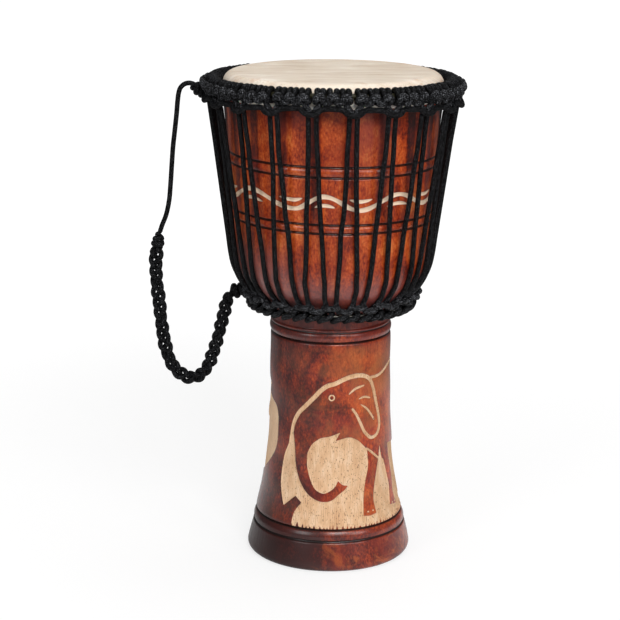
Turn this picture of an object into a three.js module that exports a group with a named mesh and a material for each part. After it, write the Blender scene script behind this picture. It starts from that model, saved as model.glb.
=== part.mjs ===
// A goblet drum: one carved wooden shell, a goatskin head lapped round a hoop, and a black rope
// harness of twenty laces strung between two wound steel rings, with a braided carrying strap.
// The drum stands on z = 0 with its axis on Z. The strap hangs on the -X side.

import * as THREE from 'three';

// Driving dimensions, in millimetres
const CLEARANCE = 0.3; // left between pieces that touch

// Shell, from the floor up
const FOOT_RADIUS = 103;
const FOOT_ROUND = 6; // rounding of the foot's lower edge
const FOOT_BORE = 84; // radius of the opening in the foot
const STEM_RADIUS = 73.3;
const STEM_BORE = 44; // radius of the throat
const FLARE_HEIGHT = 86; // height over which the stem flares out to the foot
const FLARE_POWER = 1.35;
const FOOT_LINES = [37, 51]; // heights of the two turned grooves on the foot
const NECK_RADIUS = 71.5;
const NECK_HEIGHT = 22; // plain neck between the stem's bead and the bowl
const BEAD_HEIGHT = 14; // turned bead at the top of the stem
const BEAD_PROUD = 1.2;
const BELLY_HEIGHT = 388; // where the bowl stops curving and its side runs straight
const BELLY_RADIUS = 120.3;
const BOWL_CURVE = 74.3; // radius of the bowl's lower curve
const BOWL_WALL = 16; // thickness of the bowl's lower curve
const RIM_HEIGHT = 598.5;
const RIM_RADIUS = 130.5;
const RIM_WALL = 14;
const RIM_ROUND = 12; // rounding of the bearing edge
const RIM_INNER_DROP = 2; // the bearing edge falls this much to the inside
const BAND_DROPS = [94, 106, 161.5, 172]; // turned grooves on the bowl, measured down from the rim
const GROOVE_WIDTH = 4;
const GROOVE_DEPTH = 2;

// Head
const SKIN = 1.2;
const HOOP_WIRE = 6; // flesh hoop that the skin is lapped round
const HOOP_DROP = 21.5; // hoop centre below the rim

// Rings and rope
const LACES = 20;
const ROPE = 6; // diameter
const RING_WIRE = 6; // crown ring and bottom ring
const CROWN_DROP = 9; // crown ring centre below the rim
const CROWN_SETBACK = 4.7; // crown ring centre outside the lapped skin
const KNOT_RIBS = 6; // turns of rope that show on one collar knot
const KNOT_GAP = 5; // between one collar knot and the next, on the crown ring
const KNOT_RIDGE = 3.7; // the knots' crossings stand this proud on the outside
const RIB_DEPTH = 1.5;
const LACE_SETBACK = 4.8; // top of a lace, outside the crown ring's centre
const PAIR_GAP = 9; // between the two laces that meet under a gap in the collar
const LEG_GAP = 11; // between one lace's own legs at the bottom ring
const TURN_GAP = 23; // between one lace's two turns on the bottom ring
const RING_LEAN = 55; // degrees below level, from the bowl curve's centre to the bottom ring
const BIGHT_LEAN = 43; // the same, to the middle of the bight that crosses in front of the legs
const SWAG_DIP = 12; // the swag's low points, below the tops of the laces

// Carrying strap, in the plane through the drum's axis: distance out from the axis, and height
const STRAP_CORD = [
  [165.6, 577.4], [167.2, 583], [173.5, 587.3], [180.2, 584.6], [184, 577], [185.6, 566], [187.4, 548],
  [189.6, 528], [192, 507], [194, 484], [196, 460], [198, 440], [202.4, 421], [207, 409.5], [210.2, 399.6],
];
const STRAP_BRAID = [
  [213.2, 383.4], [214.6, 373], [215, 358], [214.4, 340], [212.6, 324], [211, 308], [209.6, 292], [207.6, 276],
  [205, 260], [200.6, 243], [194.2, 230.5], [185.4, 221.4], [175, 217], [165, 218.4], [156.8, 225], [150.4, 236],
  [145.6, 249], [141.4, 262], [137.6, 276], [134, 291], [130.6, 305], [127.6, 317], [125.2, 327],
];
const BRAID_WIDTH = 17;
const BRAID_THICKNESS = 12;
const TOP_KNOT_RADIUS = 7;
const LOW_KNOT_RADIUS = 6.5;
const MID_KNOT_RADIUS = 6;

// Facets
const ROUND_SIDES = 40; // turned pieces and rings
const WIRE_SIDES = 6;
const ROPE_SIDES = 5;
const CORD_SIDES = 8;

// Worked-out sizes
const PITCH = 2 * Math.PI / LACES;
const ROPE_RADIUS = ROPE / 2;
const RING_RADIUS = RING_WIRE / 2;
const HOOP_RADIUS = HOOP_WIRE / 2;
const radians = THREE.MathUtils.degToRad;

const bowlCentre = new THREE.Vector2(BELLY_RADIUS - BOWL_CURVE, BELLY_HEIGHT);
const bowlBottom = BELLY_HEIGHT - Math.sqrt(BOWL_CURVE ** 2 - (NECK_RADIUS - bowlCentre.x) ** 2);
const stemTop = bowlBottom - NECK_HEIGHT;
const rimRound = Math.min(RIM_ROUND, RIM_WALL - 1);
const rimCentre = new THREE.Vector2(RIM_RADIUS - rimRound, RIM_HEIGHT - rimRound);

const hoopHeight = RIM_HEIGHT - HOOP_DROP;
const hoopCentre = new THREE.Vector2(RIM_RADIUS + 2 * CLEARANCE + SKIN + HOOP_RADIUS, hoopHeight);
const lapRadius = hoopCentre.x + HOOP_RADIUS + CLEARANCE + SKIN;

const crown = new THREE.Vector2(lapRadius + CROWN_SETBACK, RIM_HEIGHT - CROWN_DROP);
const knotRadius = RING_RADIUS + CLEARANCE + ROPE;
const knotBottom = crown.y - knotRadius * Math.sin(Math.PI / 3);
const lapTop = knotBottom - CLEARANCE;

const TURN_STEPS = 5; // steps of a lace round the bottom ring
const BOWL_STEPS = 3; // steps of a lace down the bowl's curve
const turnFront = radians(15);
const turnSweep = 2 * Math.PI - (Math.PI - radians(RING_LEAN)) + turnFront;
const turnRadius = (RING_RADIUS + CLEARANCE + ROPE_RADIUS) / Math.cos(turnSweep / TURN_STEPS / 2);
const restRadius = BOWL_CURVE + CLEARANCE + ROPE_RADIUS; // a rope's centre lying on the bowl's curve
const bottomRing = pointAt(bowlCentre, restRadius + turnRadius, -radians(RING_LEAN));
const laceTop = new THREE.Vector2(crown.x + LACE_SETBACK, knotBottom - 2 * CLEARANCE - ROPE_RADIUS / 7);

/** The point at a distance and angle from a centre, in the (radius, height) plane. */
function pointAt(centre, distance, angle) {
  return new THREE.Vector2(centre.x + distance * Math.cos(angle), centre.y + distance * Math.sin(angle));
}

/** Points of an arc round a centre, from one angle to another, both ends included. */
function arc(centre, radius, from, to, steps) {
  const points = [];
  for (let i = 0; i <= steps; i++) points.push(pointAt(centre, radius, from + (to - from) * i / steps));
  return points;
}

/** Angle on a circle of the point where the tangent from a higher, outer point touches it. */
function tangentAngle(centre, radius, from) {
  const away = from.clone().sub(centre);
  return away.angle() - Math.acos(radius / away.length());
}

/** A point in space from an angle round the drum and a (radius, height) point. */
function around(angle, point) {
  return new THREE.Vector3(point.x * Math.cos(angle), point.x * Math.sin(angle), point.y);
}

/** Turns a closed (radius, height) profile round the drum's axis. */
function turned(profile) {
  return new THREE.LatheGeometry(profile, ROUND_SIDES).rotateX(Math.PI / 2);
}

/** Joins rings of equal point counts into one skin; a loop joins the last ring to the first. */
function skinned(rings, loop) {
  const sides = rings[0].length;
  const index = [];
  const joints = loop ? rings.length : rings.length - 1;
  for (let i = 0; i < joints; i++) {
    const low = i * sides;
    const high = ((i + 1) % rings.length) * sides;
    for (let j = 0; j < sides; j++) {
      const k = (j + 1) % sides;
      index.push(low + j, low + k, high + k, low + j, high + k, high + j);
    }
  }
  const last = (rings.length - 1) * sides;
  for (let j = 1; !loop && j < sides - 1; j++) {
    index.push(0, j + 1, j, last, last + j, last + j + 1);
  }
  const geometry = new THREE.BufferGeometry().setFromPoints(rings.flat());
  geometry.setIndex(index);
  geometry.computeVertexNormals();
  return geometry;
}

/** A closed tube along points: an ellipse of the given half sizes carried along, with flat ends. */
function tube(points, sides, halfSizes, firstNormal) {
  let normal = firstNormal.clone();
  const rings = points.map((point, i) => {
    const ahead = points[Math.min(i + 1, points.length - 1)].clone().sub(point);
    const behind = point.clone().sub(points[Math.max(i - 1, 0)]);
    const tangent = ahead.normalize().add(behind.normalize()).normalize();
    normal = normal.clone().addScaledVector(tangent, -normal.dot(tangent)).normalize();
    const across = new THREE.Vector3().crossVectors(tangent, normal);
    const [wide, thick] = halfSizes(i);
    const ring = [];
    for (let j = 0; j < sides; j++) {
      const angle = 2 * Math.PI * j / sides;
      ring.push(point.clone()
        .addScaledVector(normal, wide * Math.cos(angle))
        .addScaledVector(across, thick * Math.sin(angle)));
    }
    return ring;
  });
  return skinned(rings, false);
}

/** Least distance between stretches of a rope that lie apart along it, less the rope's diameter. */
function leastSelfGap(points, diameter) {
  const curve = new THREE.CurvePath();
  for (let i = 1; i < points.length; i++) curve.add(new THREE.LineCurve3(points[i - 1], points[i]));
  const count = Math.ceil(curve.getLength() / (diameter / 3));
  const samples = curve.getSpacedPoints(count);
  const apart = 9; // samples, three diameters along the rope
  let least = Infinity;
  for (let i = 0; i < samples.length; i++) {
    for (let j = i + apart; j < samples.length; j++) least = Math.min(least, samples[i].distanceTo(samples[j]));
  }
  return least - diameter;
}

/** Outer radius of the stem: a bell flare down to the foot, whose lower edge is rounded. */
function stemRadius(z) {
  const flare = STEM_RADIUS + (FOOT_RADIUS - STEM_RADIUS) * Math.exp(-((z / FLARE_HEIGHT) ** FLARE_POWER));
  const below = Math.max(0, 1 - z / FOOT_ROUND);
  return flare - FOOT_ROUND * (1 - Math.sqrt(1 - below ** 2));
}

/** Radius of the bore through the stem, which opens out to the foot in the same bell flare. */
function boreRadius(z) {
  return STEM_BORE + (FOOT_BORE - STEM_BORE) * Math.exp(-((z / FLARE_HEIGHT) ** FLARE_POWER));
}

/** A profile line through the given heights, with a V groove cut at each groove height. */
function grooved(radiusAt, heights, grooves) {
  const clear = heights.filter((z) => grooves.every((g) => Math.abs(z - g) > GROOVE_WIDTH / 2));
  const points = clear.map((z) => new THREE.Vector2(radiusAt(z), z));
  for (const g of grooves) {
    const half = GROOVE_WIDTH / 2;
    points.push(new THREE.Vector2(radiusAt(g - half), g - half));
    points.push(new THREE.Vector2(radiusAt(g) - GROOVE_DEPTH, g));
    points.push(new THREE.Vector2(radiusAt(g + half), g + half));
  }
  return points.sort((a, b) => a.y - b.y);
}

/** Heights from low to high, set closer together towards the low end. */
function heightsBetween(low, high, steps) {
  const heights = [];
  for (let i = 0; i <= steps; i++) heights.push(low + (high - low) * (i / steps) ** 1.5);
  return heights;
}

/** Carved shell: foot, flared stem with its bead, bowl curve, straight side and bearing edge. */
function shell() {
  const beadFoot = stemTop - BEAD_HEIGHT;
  const bead = [
    new THREE.Vector2(STEM_RADIUS, beadFoot + GROOVE_WIDTH / 2),
    new THREE.Vector2(STEM_RADIUS + BEAD_PROUD, stemTop - BEAD_HEIGHT / 2),
    new THREE.Vector2(STEM_RADIUS, stemTop),
    new THREE.Vector2(NECK_RADIUS, stemTop + GROOVE_WIDTH / 2),
  ];
  const foot = heightsBetween(0, FOOT_ROUND, 2);
  const flare = heightsBetween(FOOT_ROUND, beadFoot - GROOVE_WIDTH, 8).slice(1);
  const stem = grooved(stemRadius, [...foot, ...flare], [...FOOT_LINES, beadFoot]).slice(0, -1);

  const sideTop = new THREE.Vector2(RIM_RADIUS, rimCentre.y);
  const sideAngle = tangentAngle(bowlCentre, BOWL_CURVE, sideTop);
  const neckAngle = Math.asin((bowlBottom - BELLY_HEIGHT) / BOWL_CURVE);
  const curve = arc(bowlCentre, BOWL_CURVE, neckAngle, sideAngle, 6);
  const sideFoot = curve.at(-1);
  const slope = (sideTop.x - sideFoot.x) / (sideTop.y - sideFoot.y);
  const sideRadius = (z) => sideFoot.x + slope * (z - sideFoot.y);
  const bands = BAND_DROPS.map((drop) => RIM_HEIGHT - drop);
  const side = grooved(sideRadius, [], bands);
  const bearingEdge = arc(rimCentre, rimRound, 0, Math.PI / 2, 3);

  const innerTop = new THREE.Vector2(RIM_RADIUS - RIM_WALL, RIM_HEIGHT - RIM_INNER_DROP);
  const innerCurve = BOWL_CURVE - BOWL_WALL;
  const throat = BELLY_HEIGHT - Math.sqrt(innerCurve ** 2 - (STEM_BORE - bowlCentre.x) ** 2);
  const throatAngle = -Math.PI / 2 - Math.asin((bowlCentre.x - STEM_BORE) / innerCurve);
  const inside = arc(bowlCentre, innerCurve, tangentAngle(bowlCentre, innerCurve, innerTop), throatAngle, 4);
  const bore = heightsBetween(0, throat, 5).slice(0, -1).reverse();
  const borePoints = bore.map((z) => new THREE.Vector2(boreRadius(z), z));

  const outline = [...stem, ...bead, ...curve, ...side, ...bearingEdge, innerTop, ...inside, ...borePoints];
  return turned([...outline, outline[0].clone()]);
}

/** Goatskin head: flat disc over the bearing edge, skirt, and a lap up the outside of the hoop. */
function drumhead() {
  const under = rimRound + CLEARANCE;
  const over = under + SKIN;
  const wrap = HOOP_RADIUS + CLEARANCE;
  const outside = [
    new THREE.Vector2(0, rimCentre.y + over),
    ...arc(rimCentre, over, Math.PI / 2, 0, 3),
    ...arc(hoopCentre, wrap, Math.PI, 2 * Math.PI, 3),
    new THREE.Vector2(lapRadius - SKIN, lapTop),
    new THREE.Vector2(lapRadius, lapTop),
    ...arc(hoopCentre, wrap + SKIN, 2 * Math.PI, Math.PI, 3),
    ...arc(rimCentre, under, 0, Math.PI / 2, 3),
    new THREE.Vector2(0, rimCentre.y + under),
  ];
  return turned(outside.reverse());
}

/** A steel ring of round wire, level round the drum's axis. */
function wireRing(centre, wireRadius) {
  const ring = new THREE.TorusGeometry(centre.x, wireRadius, WIRE_SIDES, ROUND_SIDES);
  return ring.translate(0, 0, centre.y);
}

/** One collar knot: rope hitched round the crown ring, as a ribbed sleeve with the ring's bore. */
function collarKnot(middle) {
  const half = PITCH / 2 - KNOT_GAP / 2 / crown.x;
  const section = (angle, radius, ridge) => {
    const ring = [];
    for (let j = 0; j < WIRE_SIDES; j++) {
      const turn = -2 * Math.PI * j / WIRE_SIDES;
      const reach = j === 0 ? radius + ridge : radius;
      ring.push(around(angle, pointAt(crown, reach, turn)));
    }
    return ring;
  };
  const rings = [];
  for (let i = 0; i <= 2 * KNOT_RIBS; i++) {
    const radius = i % 2 === 0 ? knotRadius - RIB_DEPTH : knotRadius;
    rings.push(section(middle + half * (i / KNOT_RIBS - 1), radius, KNOT_RIDGE));
  }
  const facetDip = crown.x * (1 - Math.cos(Math.PI / ROUND_SIDES));
  const bore = (RING_RADIUS + CLEARANCE + facetDip) / Math.cos(Math.PI / WIRE_SIDES);
  for (const side of [1, 0, -1]) rings.push(section(middle + half * side, bore, 0));
  return skinned(rings, true);
}

/** Half of one lace, from the middle of its bight up to the collar: [offset angle, point] pairs. */
function laceHalf() {
  const bend = radians(RING_LEAN - BIGHT_LEAN);
  const bightReach = restRadius / Math.cos(bend / BOWL_STEPS) + ROPE + 3 * CLEARANCE;
  const bight = pointAt(bowlCentre, bightReach, -radians(BIGHT_LEAN));
  const front = pointAt(bottomRing, turnRadius, turnFront);
  const turnAngle = TURN_GAP / 2 / bottomRing.x;
  const legAngle = LEG_GAP / 2 / bottomRing.x;
  const topAngle = PITCH / 2 - PAIR_GAP / 2 / laceTop.x;
  const half = [];
  for (const rise of [radians(90), radians(45)]) {
    half.push([turnAngle * Math.cos(rise), front.clone().lerp(bight, Math.sin(rise))]);
  }
  for (let i = 0; i < TURN_STEPS; i++) {
    const share = i / TURN_STEPS;
    const point = pointAt(bottomRing, turnRadius, turnFront - turnSweep * share);
    half.push([turnAngle + (legAngle - turnAngle) * share, point]);
  }
  const leaves = tangentAngle(bowlCentre, restRadius, laceTop);
  const bowlStep = (leaves + radians(RING_LEAN)) / BOWL_STEPS;
  const outlying = restRadius / Math.cos(bowlStep / 2);
  for (let i = 0; i <= BOWL_STEPS; i++) {
    const angle = -radians(RING_LEAN) + bowlStep * i;
    const reach = i === 0 ? restRadius : outlying;
    const point = pointAt(bowlCentre, reach, angle);
    const climb = (point.y - bottomRing.y) / (laceTop.y - bottomRing.y);
    half.push([legAngle + (topAngle - legAngle) * Math.max(0, climb), point]);
  }
  half.push([topAngle, laceTop]);
  return half;
}

/** One lace: up from the collar's left end, hitched on the bottom ring, and up to its right end. */
function lacePath(middle) {
  const half = laceHalf();
  const left = half.slice(1).reverse().map(([offset, point]) => around(middle - offset, point));
  const right = half.map(([offset, point]) => around(middle + offset, point));
  return [...left, ...right];
}

/** Swag rope: rises under each collar knot and dips in front of each pair of laces. */
function swagPath() {
  const steps = 6 * LACES;
  const leaves = pointAt(bowlCentre, restRadius, tangentAngle(bowlCentre, restRadius, laceTop));
  const slope = (laceTop.x - leaves.x) / (laceTop.y - leaves.y);
  const high = new THREE.Vector2(laceTop.x, knotBottom - CLEARANCE - ROPE_RADIUS);
  const low = new THREE.Vector2(laceTop.x - slope * SWAG_DIP + ROPE + 3 * CLEARANCE, laceTop.y - SWAG_DIP);
  const seam = CLEARANCE / crown.x; // the rope's two ends meet under one knot
  const points = [];
  for (let i = 0; i <= steps; i++) {
    const angle = seam + (2 * Math.PI - 2 * seam) * i / steps;
    const dip = 0.5 - 0.5 * Math.cos(angle * LACES);
    const point = new THREE.Vector2(high.x + (low.x - high.x) * dip ** 0.7, high.y + (low.y - high.y) * dip);
    points.push(around(angle, point));
  }
  return points;
}

const outwards = new THREE.Vector3(1, 0, 0);
const upwards = new THREE.Vector3(0, 0, 1);
const sideways = new THREE.Vector3(0, 1, 0);

/** The rope's own round section, the same all along. */
function ropeSection() {
  return [ROPE_RADIUS, ROPE_RADIUS];
}

/** Strap points in space, at the knot that lies nearest to the -X side. */
function strapPoints(route) {
  const side = PITCH * Math.round(LACES / 2);
  return route.map(([out, height]) => around(side, new THREE.Vector2(out, height)));
}

/** Adds a half ball's points to the named end of a route, so that the cord can turn there. */
function ballEnd(points, radius, atStart) {
  const end = atStart ? points[0] : points.at(-1);
  const inner = atStart ? points[1] : points.at(-2);
  const out = end.clone().sub(inner).normalize();
  const extra = [0.7, 0.95].map((share) => end.clone().addScaledVector(out, radius * share));
  return atStart ? [...extra.reverse(), ...points] : [...points, ...extra];
}

const BALL_SHARES = [0.71, 0.31]; // section of a half ball at its two added points

/** Plain upper cord of the strap; its top end is a half ball that turns in the top knot. */
function strapCord() {
  const points = ballEnd(strapPoints(STRAP_CORD), ROPE_RADIUS, true);
  const size = (i) => ROPE_RADIUS * (i < 2 ? BALL_SHARES[1 - i] : 1);
  return tube(points, CORD_SIDES, (i) => [size(i), size(i)], sideways);
}

/** Braided lower length of the strap, drawn in at both ends; its low end is a half ball. */
function strapBraid() {
  const points = ballEnd(strapPoints(STRAP_BRAID), ROPE_RADIUS, false);
  const last = STRAP_BRAID.length - 1;
  const size = (full, i) => {
    if (i > last) return ROPE_RADIUS * BALL_SHARES[i - last - 1];
    const open = Math.min(1, (i + 1) / 2, (last - i) / 2);
    return ROPE_RADIUS + (full / 2 - ROPE_RADIUS) * open;
  };
  return tube(points, CORD_SIDES, (i) => [size(BRAID_WIDTH, i), size(BRAID_THICKNESS, i)], outwards);
}

/** A tied knot: lumps turned about the line from one point to another, with flat ends. */
function tiedKnot(from, to, radius, neck, lumps) {
  const length = from.distanceTo(to);
  const profile = [new THREE.Vector2(0, 0)];
  for (let i = 0; i <= 4 * lumps; i++) {
    const swell = Math.abs(Math.sin(Math.PI * i / 4)) ** 0.7;
    profile.push(new THREE.Vector2(neck + (radius - neck) * swell, length * i / (4 * lumps)));
  }
  profile.push(new THREE.Vector2(0, length));
  const knot = new THREE.LatheGeometry(profile, CORD_SIDES + 2);
  const turn = new THREE.Quaternion().setFromUnitVectors(sideways, to.clone().sub(from).normalize());
  return knot.applyQuaternion(turn).translate(from.x, from.y, from.z);
}

/** Knot that ties the strap's cord to the swag rope under the collar. */
function strapTopKnot() {
  const pivot = STRAP_CORD[0];
  const swagFace = laceTop.x + ROPE_RADIUS + CLEARANCE;
  const level = knotBottom - CLEARANCE - ROPE_RADIUS;
  const cordFace = pivot[0] - ROPE_RADIUS - CLEARANCE;
  const [from, to] = strapPoints([[swagFace, level], [cordFace, level]]);
  return tiedKnot(from, to, TOP_KNOT_RADIUS, ROPE_RADIUS, 1);
}

/** Knot that ties the strap's braid to the bight of the lace below. */
function strapLowKnot() {
  const pivot = STRAP_BRAID.at(-1);
  const bight = laceHalf()[0][1];
  const cordFace = pivot[0] - ROPE_RADIUS - CLEARANCE;
  const [from, to] = strapPoints([[bight.x + ROPE_RADIUS + CLEARANCE, bight.y], [cordFace, bight.y]]);
  return tiedKnot(from, to, LOW_KNOT_RADIUS, ROPE_RADIUS, 1);
}

/** Double knot where the plain cord passes into the braid. */
function strapMidKnot() {
  const [above, below] = strapPoints([STRAP_CORD.at(-1), STRAP_BRAID[0]]);
  const along = below.clone().sub(above).normalize();
  const from = above.clone().addScaledVector(along, 2 * CLEARANCE);
  const to = below.clone().addScaledVector(along, -2 * CLEARANCE);
  return tiedKnot(from, to, MID_KNOT_RADIUS, ROPE_RADIUS, 2);
}

// Materials
const stainedWood = new THREE.MeshStandardMaterial({ color: 0x7a3b1d, roughness: 0.4, metalness: 0 });
const goatskin = new THREE.MeshStandardMaterial({ color: 0xe2d3bd, roughness: 0.6, metalness: 0 });
const steel = new THREE.MeshStandardMaterial({ color: 0x6f6d68, roughness: 0.45, metalness: 1 });
const blackRope = new THREE.MeshStandardMaterial({ color: 0x1b1b1a, roughness: 0.85, metalness: 0 });

// Assembly
const drum = new THREE.Group();

/** Adds one named piece to the drum. */
function add(name, geometry, material) {
  const mesh = new THREE.Mesh(geometry, material);
  mesh.name = name;
  drum.add(mesh);
}

add('shell', shell(), stainedWood);
add('drumhead', drumhead(), goatskin);
add('flesh_hoop', wireRing(hoopCentre, HOOP_RADIUS), steel);
add('crown_ring', wireRing(crown, RING_RADIUS), steel);
add('bottom_ring', wireRing(bottomRing, RING_RADIUS), steel);
for (let k = 0; k < LACES; k++) {
  const number = String(k + 1).padStart(2, '0');
  const middle = PITCH * k;
  const inwardNormal = around(middle, new THREE.Vector2(-1, 0));
  add(`collar_knot_${number}`, collarKnot(middle), blackRope);
  add(`lace_${number}`, tube(lacePath(middle), ROPE_SIDES, ropeSection, inwardNormal), blackRope);
}
add('collar_swag', tube(swagPath(), ROPE_SIDES, ropeSection, upwards), blackRope);
add('strap_top_knot', strapTopKnot(), blackRope);
add('strap_cord', strapCord(), blackRope);
add('strap_mid_knot', strapMidKnot(), blackRope);
add('strap_braid', strapBraid(), blackRope);
add('strap_low_knot', strapLowKnot(), blackRope);

console.log('lace, least gap to itself, mm:', leastSelfGap(lacePath(0), ROPE).toFixed(2));
console.log('swag, least gap to itself, mm:', leastSelfGap(swagPath().slice(0, -3), ROPE).toFixed(2));

export default drum;
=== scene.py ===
"""Looks of a rope-strung goblet drum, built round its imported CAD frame.

The shell is four lathe grids with the carving cut into the stem and the bowl, the head is one lathed
skin, and every rope is a round section carried along its own route. Metres, +Z up, the drum's front
towards -Y.
"""

import math

import bpy
import numpy as np
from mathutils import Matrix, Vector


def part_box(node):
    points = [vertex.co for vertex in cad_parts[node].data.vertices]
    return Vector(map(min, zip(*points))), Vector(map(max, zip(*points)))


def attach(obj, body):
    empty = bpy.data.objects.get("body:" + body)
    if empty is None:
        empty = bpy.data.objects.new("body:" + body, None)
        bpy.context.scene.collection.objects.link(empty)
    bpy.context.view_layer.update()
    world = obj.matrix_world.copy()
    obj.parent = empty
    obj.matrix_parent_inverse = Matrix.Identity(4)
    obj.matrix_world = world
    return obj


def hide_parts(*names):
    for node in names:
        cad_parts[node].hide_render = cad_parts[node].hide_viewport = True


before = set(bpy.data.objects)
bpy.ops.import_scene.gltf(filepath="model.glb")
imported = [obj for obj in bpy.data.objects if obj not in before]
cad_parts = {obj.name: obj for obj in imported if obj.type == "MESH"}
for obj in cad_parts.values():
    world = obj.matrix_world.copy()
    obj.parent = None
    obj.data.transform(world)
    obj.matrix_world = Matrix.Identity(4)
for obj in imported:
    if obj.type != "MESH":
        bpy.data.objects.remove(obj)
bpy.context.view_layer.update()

MM = 0.001
LACES = 20
PITCH = 2 * math.pi / LACES

# Sizes of the shell: the part's own, but for a softer edge of the foot and slightly wider grooves
FOOT_RADIUS = 103 * MM
FOOT_ROUND = 8.5 * MM
FOOT_BORE = 84 * MM
STEM_RADIUS = 73.3 * MM
STEM_BORE = 44 * MM
FLARE_HEIGHT = 86 * MM
FLARE_POWER = 1.35
FOOT_LINES = (37 * MM, 51 * MM)
NECK_RADIUS = 71.5 * MM
STEM_TOP = 296.2 * MM
BEAD_FOOT = 282.2 * MM
BOWL_CENTRE = np.array([46, 388]) * MM
BOWL_CURVE = 74.3 * MM
BOWL_WALL = 16 * MM
RIM_HEIGHT = 598.5 * MM
RIM_RADIUS = 130.5 * MM
RIM_WALL = 14 * MM
RIM_ROUND = 12 * MM
RIM_INNER_DROP = 2 * MM
RIM_CENTRE = np.array([RIM_RADIUS - RIM_ROUND, RIM_HEIGHT - RIM_ROUND])  # of the round at the bearing edge
BAND_LINES = (426.5 * MM, 437 * MM, 492.5 * MM, 504.5 * MM)
BANDS = (BAND_LINES[:2], BAND_LINES[2:])
GROOVE_WIDTH = 4.4 * MM
GROOVE_DEPTH = 2 * MM
SKIN = 1.2 * MM
CLEARANCE = 0.3 * MM

# Rope and rings: the rings' places come from the frame
ROPE = 6 * MM
ROPE_RADIUS = ROPE / 2
RING_WIRE = 6 * MM
LACE_TOP = np.array([148.7, 571]) * MM
HALF_RUBBED = 0.26  # how far an open length of rope is worn grey
# How grey a hitched rope is, by its reach in millimetres from the middle of the ring's wire: worn grey
# where it lies open, black deep in the hitch as painted shading
WEAR_AND_SHADING_REACH = [8, 9.3, 12, 14.8, 21, 34]
WEAR_AND_SHADING_SHARE = [0, 0.5, 0.5, 1, 1, HALF_RUBBED]

# The stem is unrolled at this radius for its carving, whose ground shows upright chisel lines
CARVE_RADIUS = 76 * MM
CHISEL_PITCH = 2.1 * MM


def ring_centre(node, wire):
    """(radius, height) of the middle of a ring's wire, from the node's box."""
    low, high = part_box(node)
    return np.array([high.x - wire / 2, (low.z + high.z) / 2])


CROWN = ring_centre("crown_ring", RING_WIRE)
BOTTOM = ring_centre("bottom_ring", RING_WIRE)
HOOP = ring_centre("flesh_hoop", RING_WIRE)

# Strap route in the plane y = 0, as distance out towards -X and height, in millimetres
STRAP_CORD = [
    (162, 578.4), (166.9, 582.6), (172.2, 583.9), (178.5, 582.2), (183, 577.6), (185, 571.6), (186.2, 563),
    (187.6, 548), (189.9, 528), (192.4, 507), (194.2, 484), (196, 460), (198, 440), (202.4, 421),
    (207, 409.5), (210.2, 399.6),
]
STRAP_BRAID = [
    (213.2, 383.4), (214.6, 373), (215, 358), (214.4, 340), (212.6, 324), (211, 308), (209.6, 292),
    (207.6, 276), (205, 260), (200.6, 243), (194.2, 230.5), (185.4, 221.4), (175, 217), (165, 218.4),
    (156.8, 225), (150.4, 236), (145.6, 249), (141.4, 262), (137.6, 276), (134, 291), (130.6, 305),
    (127.6, 317), (125.2, 327),
]
BRAID_WIDTH = 17 * MM

# Camera at the photograph's viewing angle
CAMERA_DISTANCE = 2.2
CAMERA_HEIGHT = 0.87
CAMERA_PITCH = 14.4  # degrees down
CAMERA_YAW = 0.778  # degrees to the left of the drum's axis
CAMERA_ROLL = -0.43
CAMERA_LENS = 107  # millimetres
CAMERA_SENSOR = 36

camera_data = bpy.data.cameras.new("photo_camera")
camera_data.lens = CAMERA_LENS
camera_data.sensor_width = CAMERA_SENSOR
camera = bpy.data.objects.new("photo_camera", camera_data)
camera.location = (0, -CAMERA_DISTANCE, CAMERA_HEIGHT)
camera.rotation_euler = [math.radians(turn) for turn in (90 - CAMERA_PITCH, CAMERA_ROLL, CAMERA_YAW)]
bpy.context.scene.collection.objects.link(camera)
bpy.context.scene.camera = camera
bpy.context.scene.view_settings.view_transform = "Standard"


# Shader node helpers

def srgb(red, green, blue):
    """A colour given in everyday 0 to 255 values, as the linear colour that a node takes."""
    values = np.array([red, green, blue]) / 255
    linear = np.where(values <= 0.04045, values / 12.92, ((values + 0.055) / 1.055) ** 2.4)
    return (*linear.tolist(), 1.0)


def give(tree, socket, value):
    """Feeds an input: a socket is linked to it, and any other value is set."""
    if isinstance(value, bpy.types.NodeSocket):
        tree.links.new(value, socket)
    else:
        socket.default_value = value


def plug(tree, sockets, values):
    """Feeds inputs by name or number."""
    for key, value in values.items():
        give(tree, sockets[key], value)


def add_node(tree, kind, inputs=None, **settings):
    """One node with its settings and inputs."""
    made = tree.nodes.new(kind)
    for name, value in settings.items():
        setattr(made, name, value)
    plug(tree, made.inputs, inputs or {})
    return made


def maths(tree, operation, *values):
    """The result of a Math node on sockets or numbers."""
    return add_node(tree, "ShaderNodeMath", dict(enumerate(values)), operation=operation).outputs[0]


def product(tree, first, *others):
    """Sockets and numbers multiplied together."""
    for value in others:
        first = maths(tree, "MULTIPLY", first, value)
    return first


def summed(tree, start, layers):
    """A start plus each (value, weight) in turn."""
    for value, weight in layers:
        start = maths(tree, "MULTIPLY_ADD", value, weight, start)
    return start


def noise(tree, vector, scale, detail=3.0, roughness=0.55, distortion=0.0):
    """The grey value of a noise texture, at one scale or at a scale for each axis."""
    if isinstance(scale, tuple):
        stretch = {0: vector, 1: scale}
        vector = add_node(tree, "ShaderNodeVectorMath", stretch, operation="MULTIPLY").outputs[0]
        scale = 1.0
    inputs = {"Vector": vector, "Scale": scale, "Detail": detail, "Roughness": roughness,
              "Distortion": distortion}
    return add_node(tree, "ShaderNodeTexNoise", inputs).outputs["Fac"]


def between(tree, value, low, high):
    """Smooth step of a value from 0 at low to 1 at high."""
    inputs = {"Value": value, "From Min": low, "From Max": high}
    node = add_node(tree, "ShaderNodeMapRange", inputs, interpolation_type="SMOOTHSTEP")
    return node.outputs["Result"]


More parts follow.
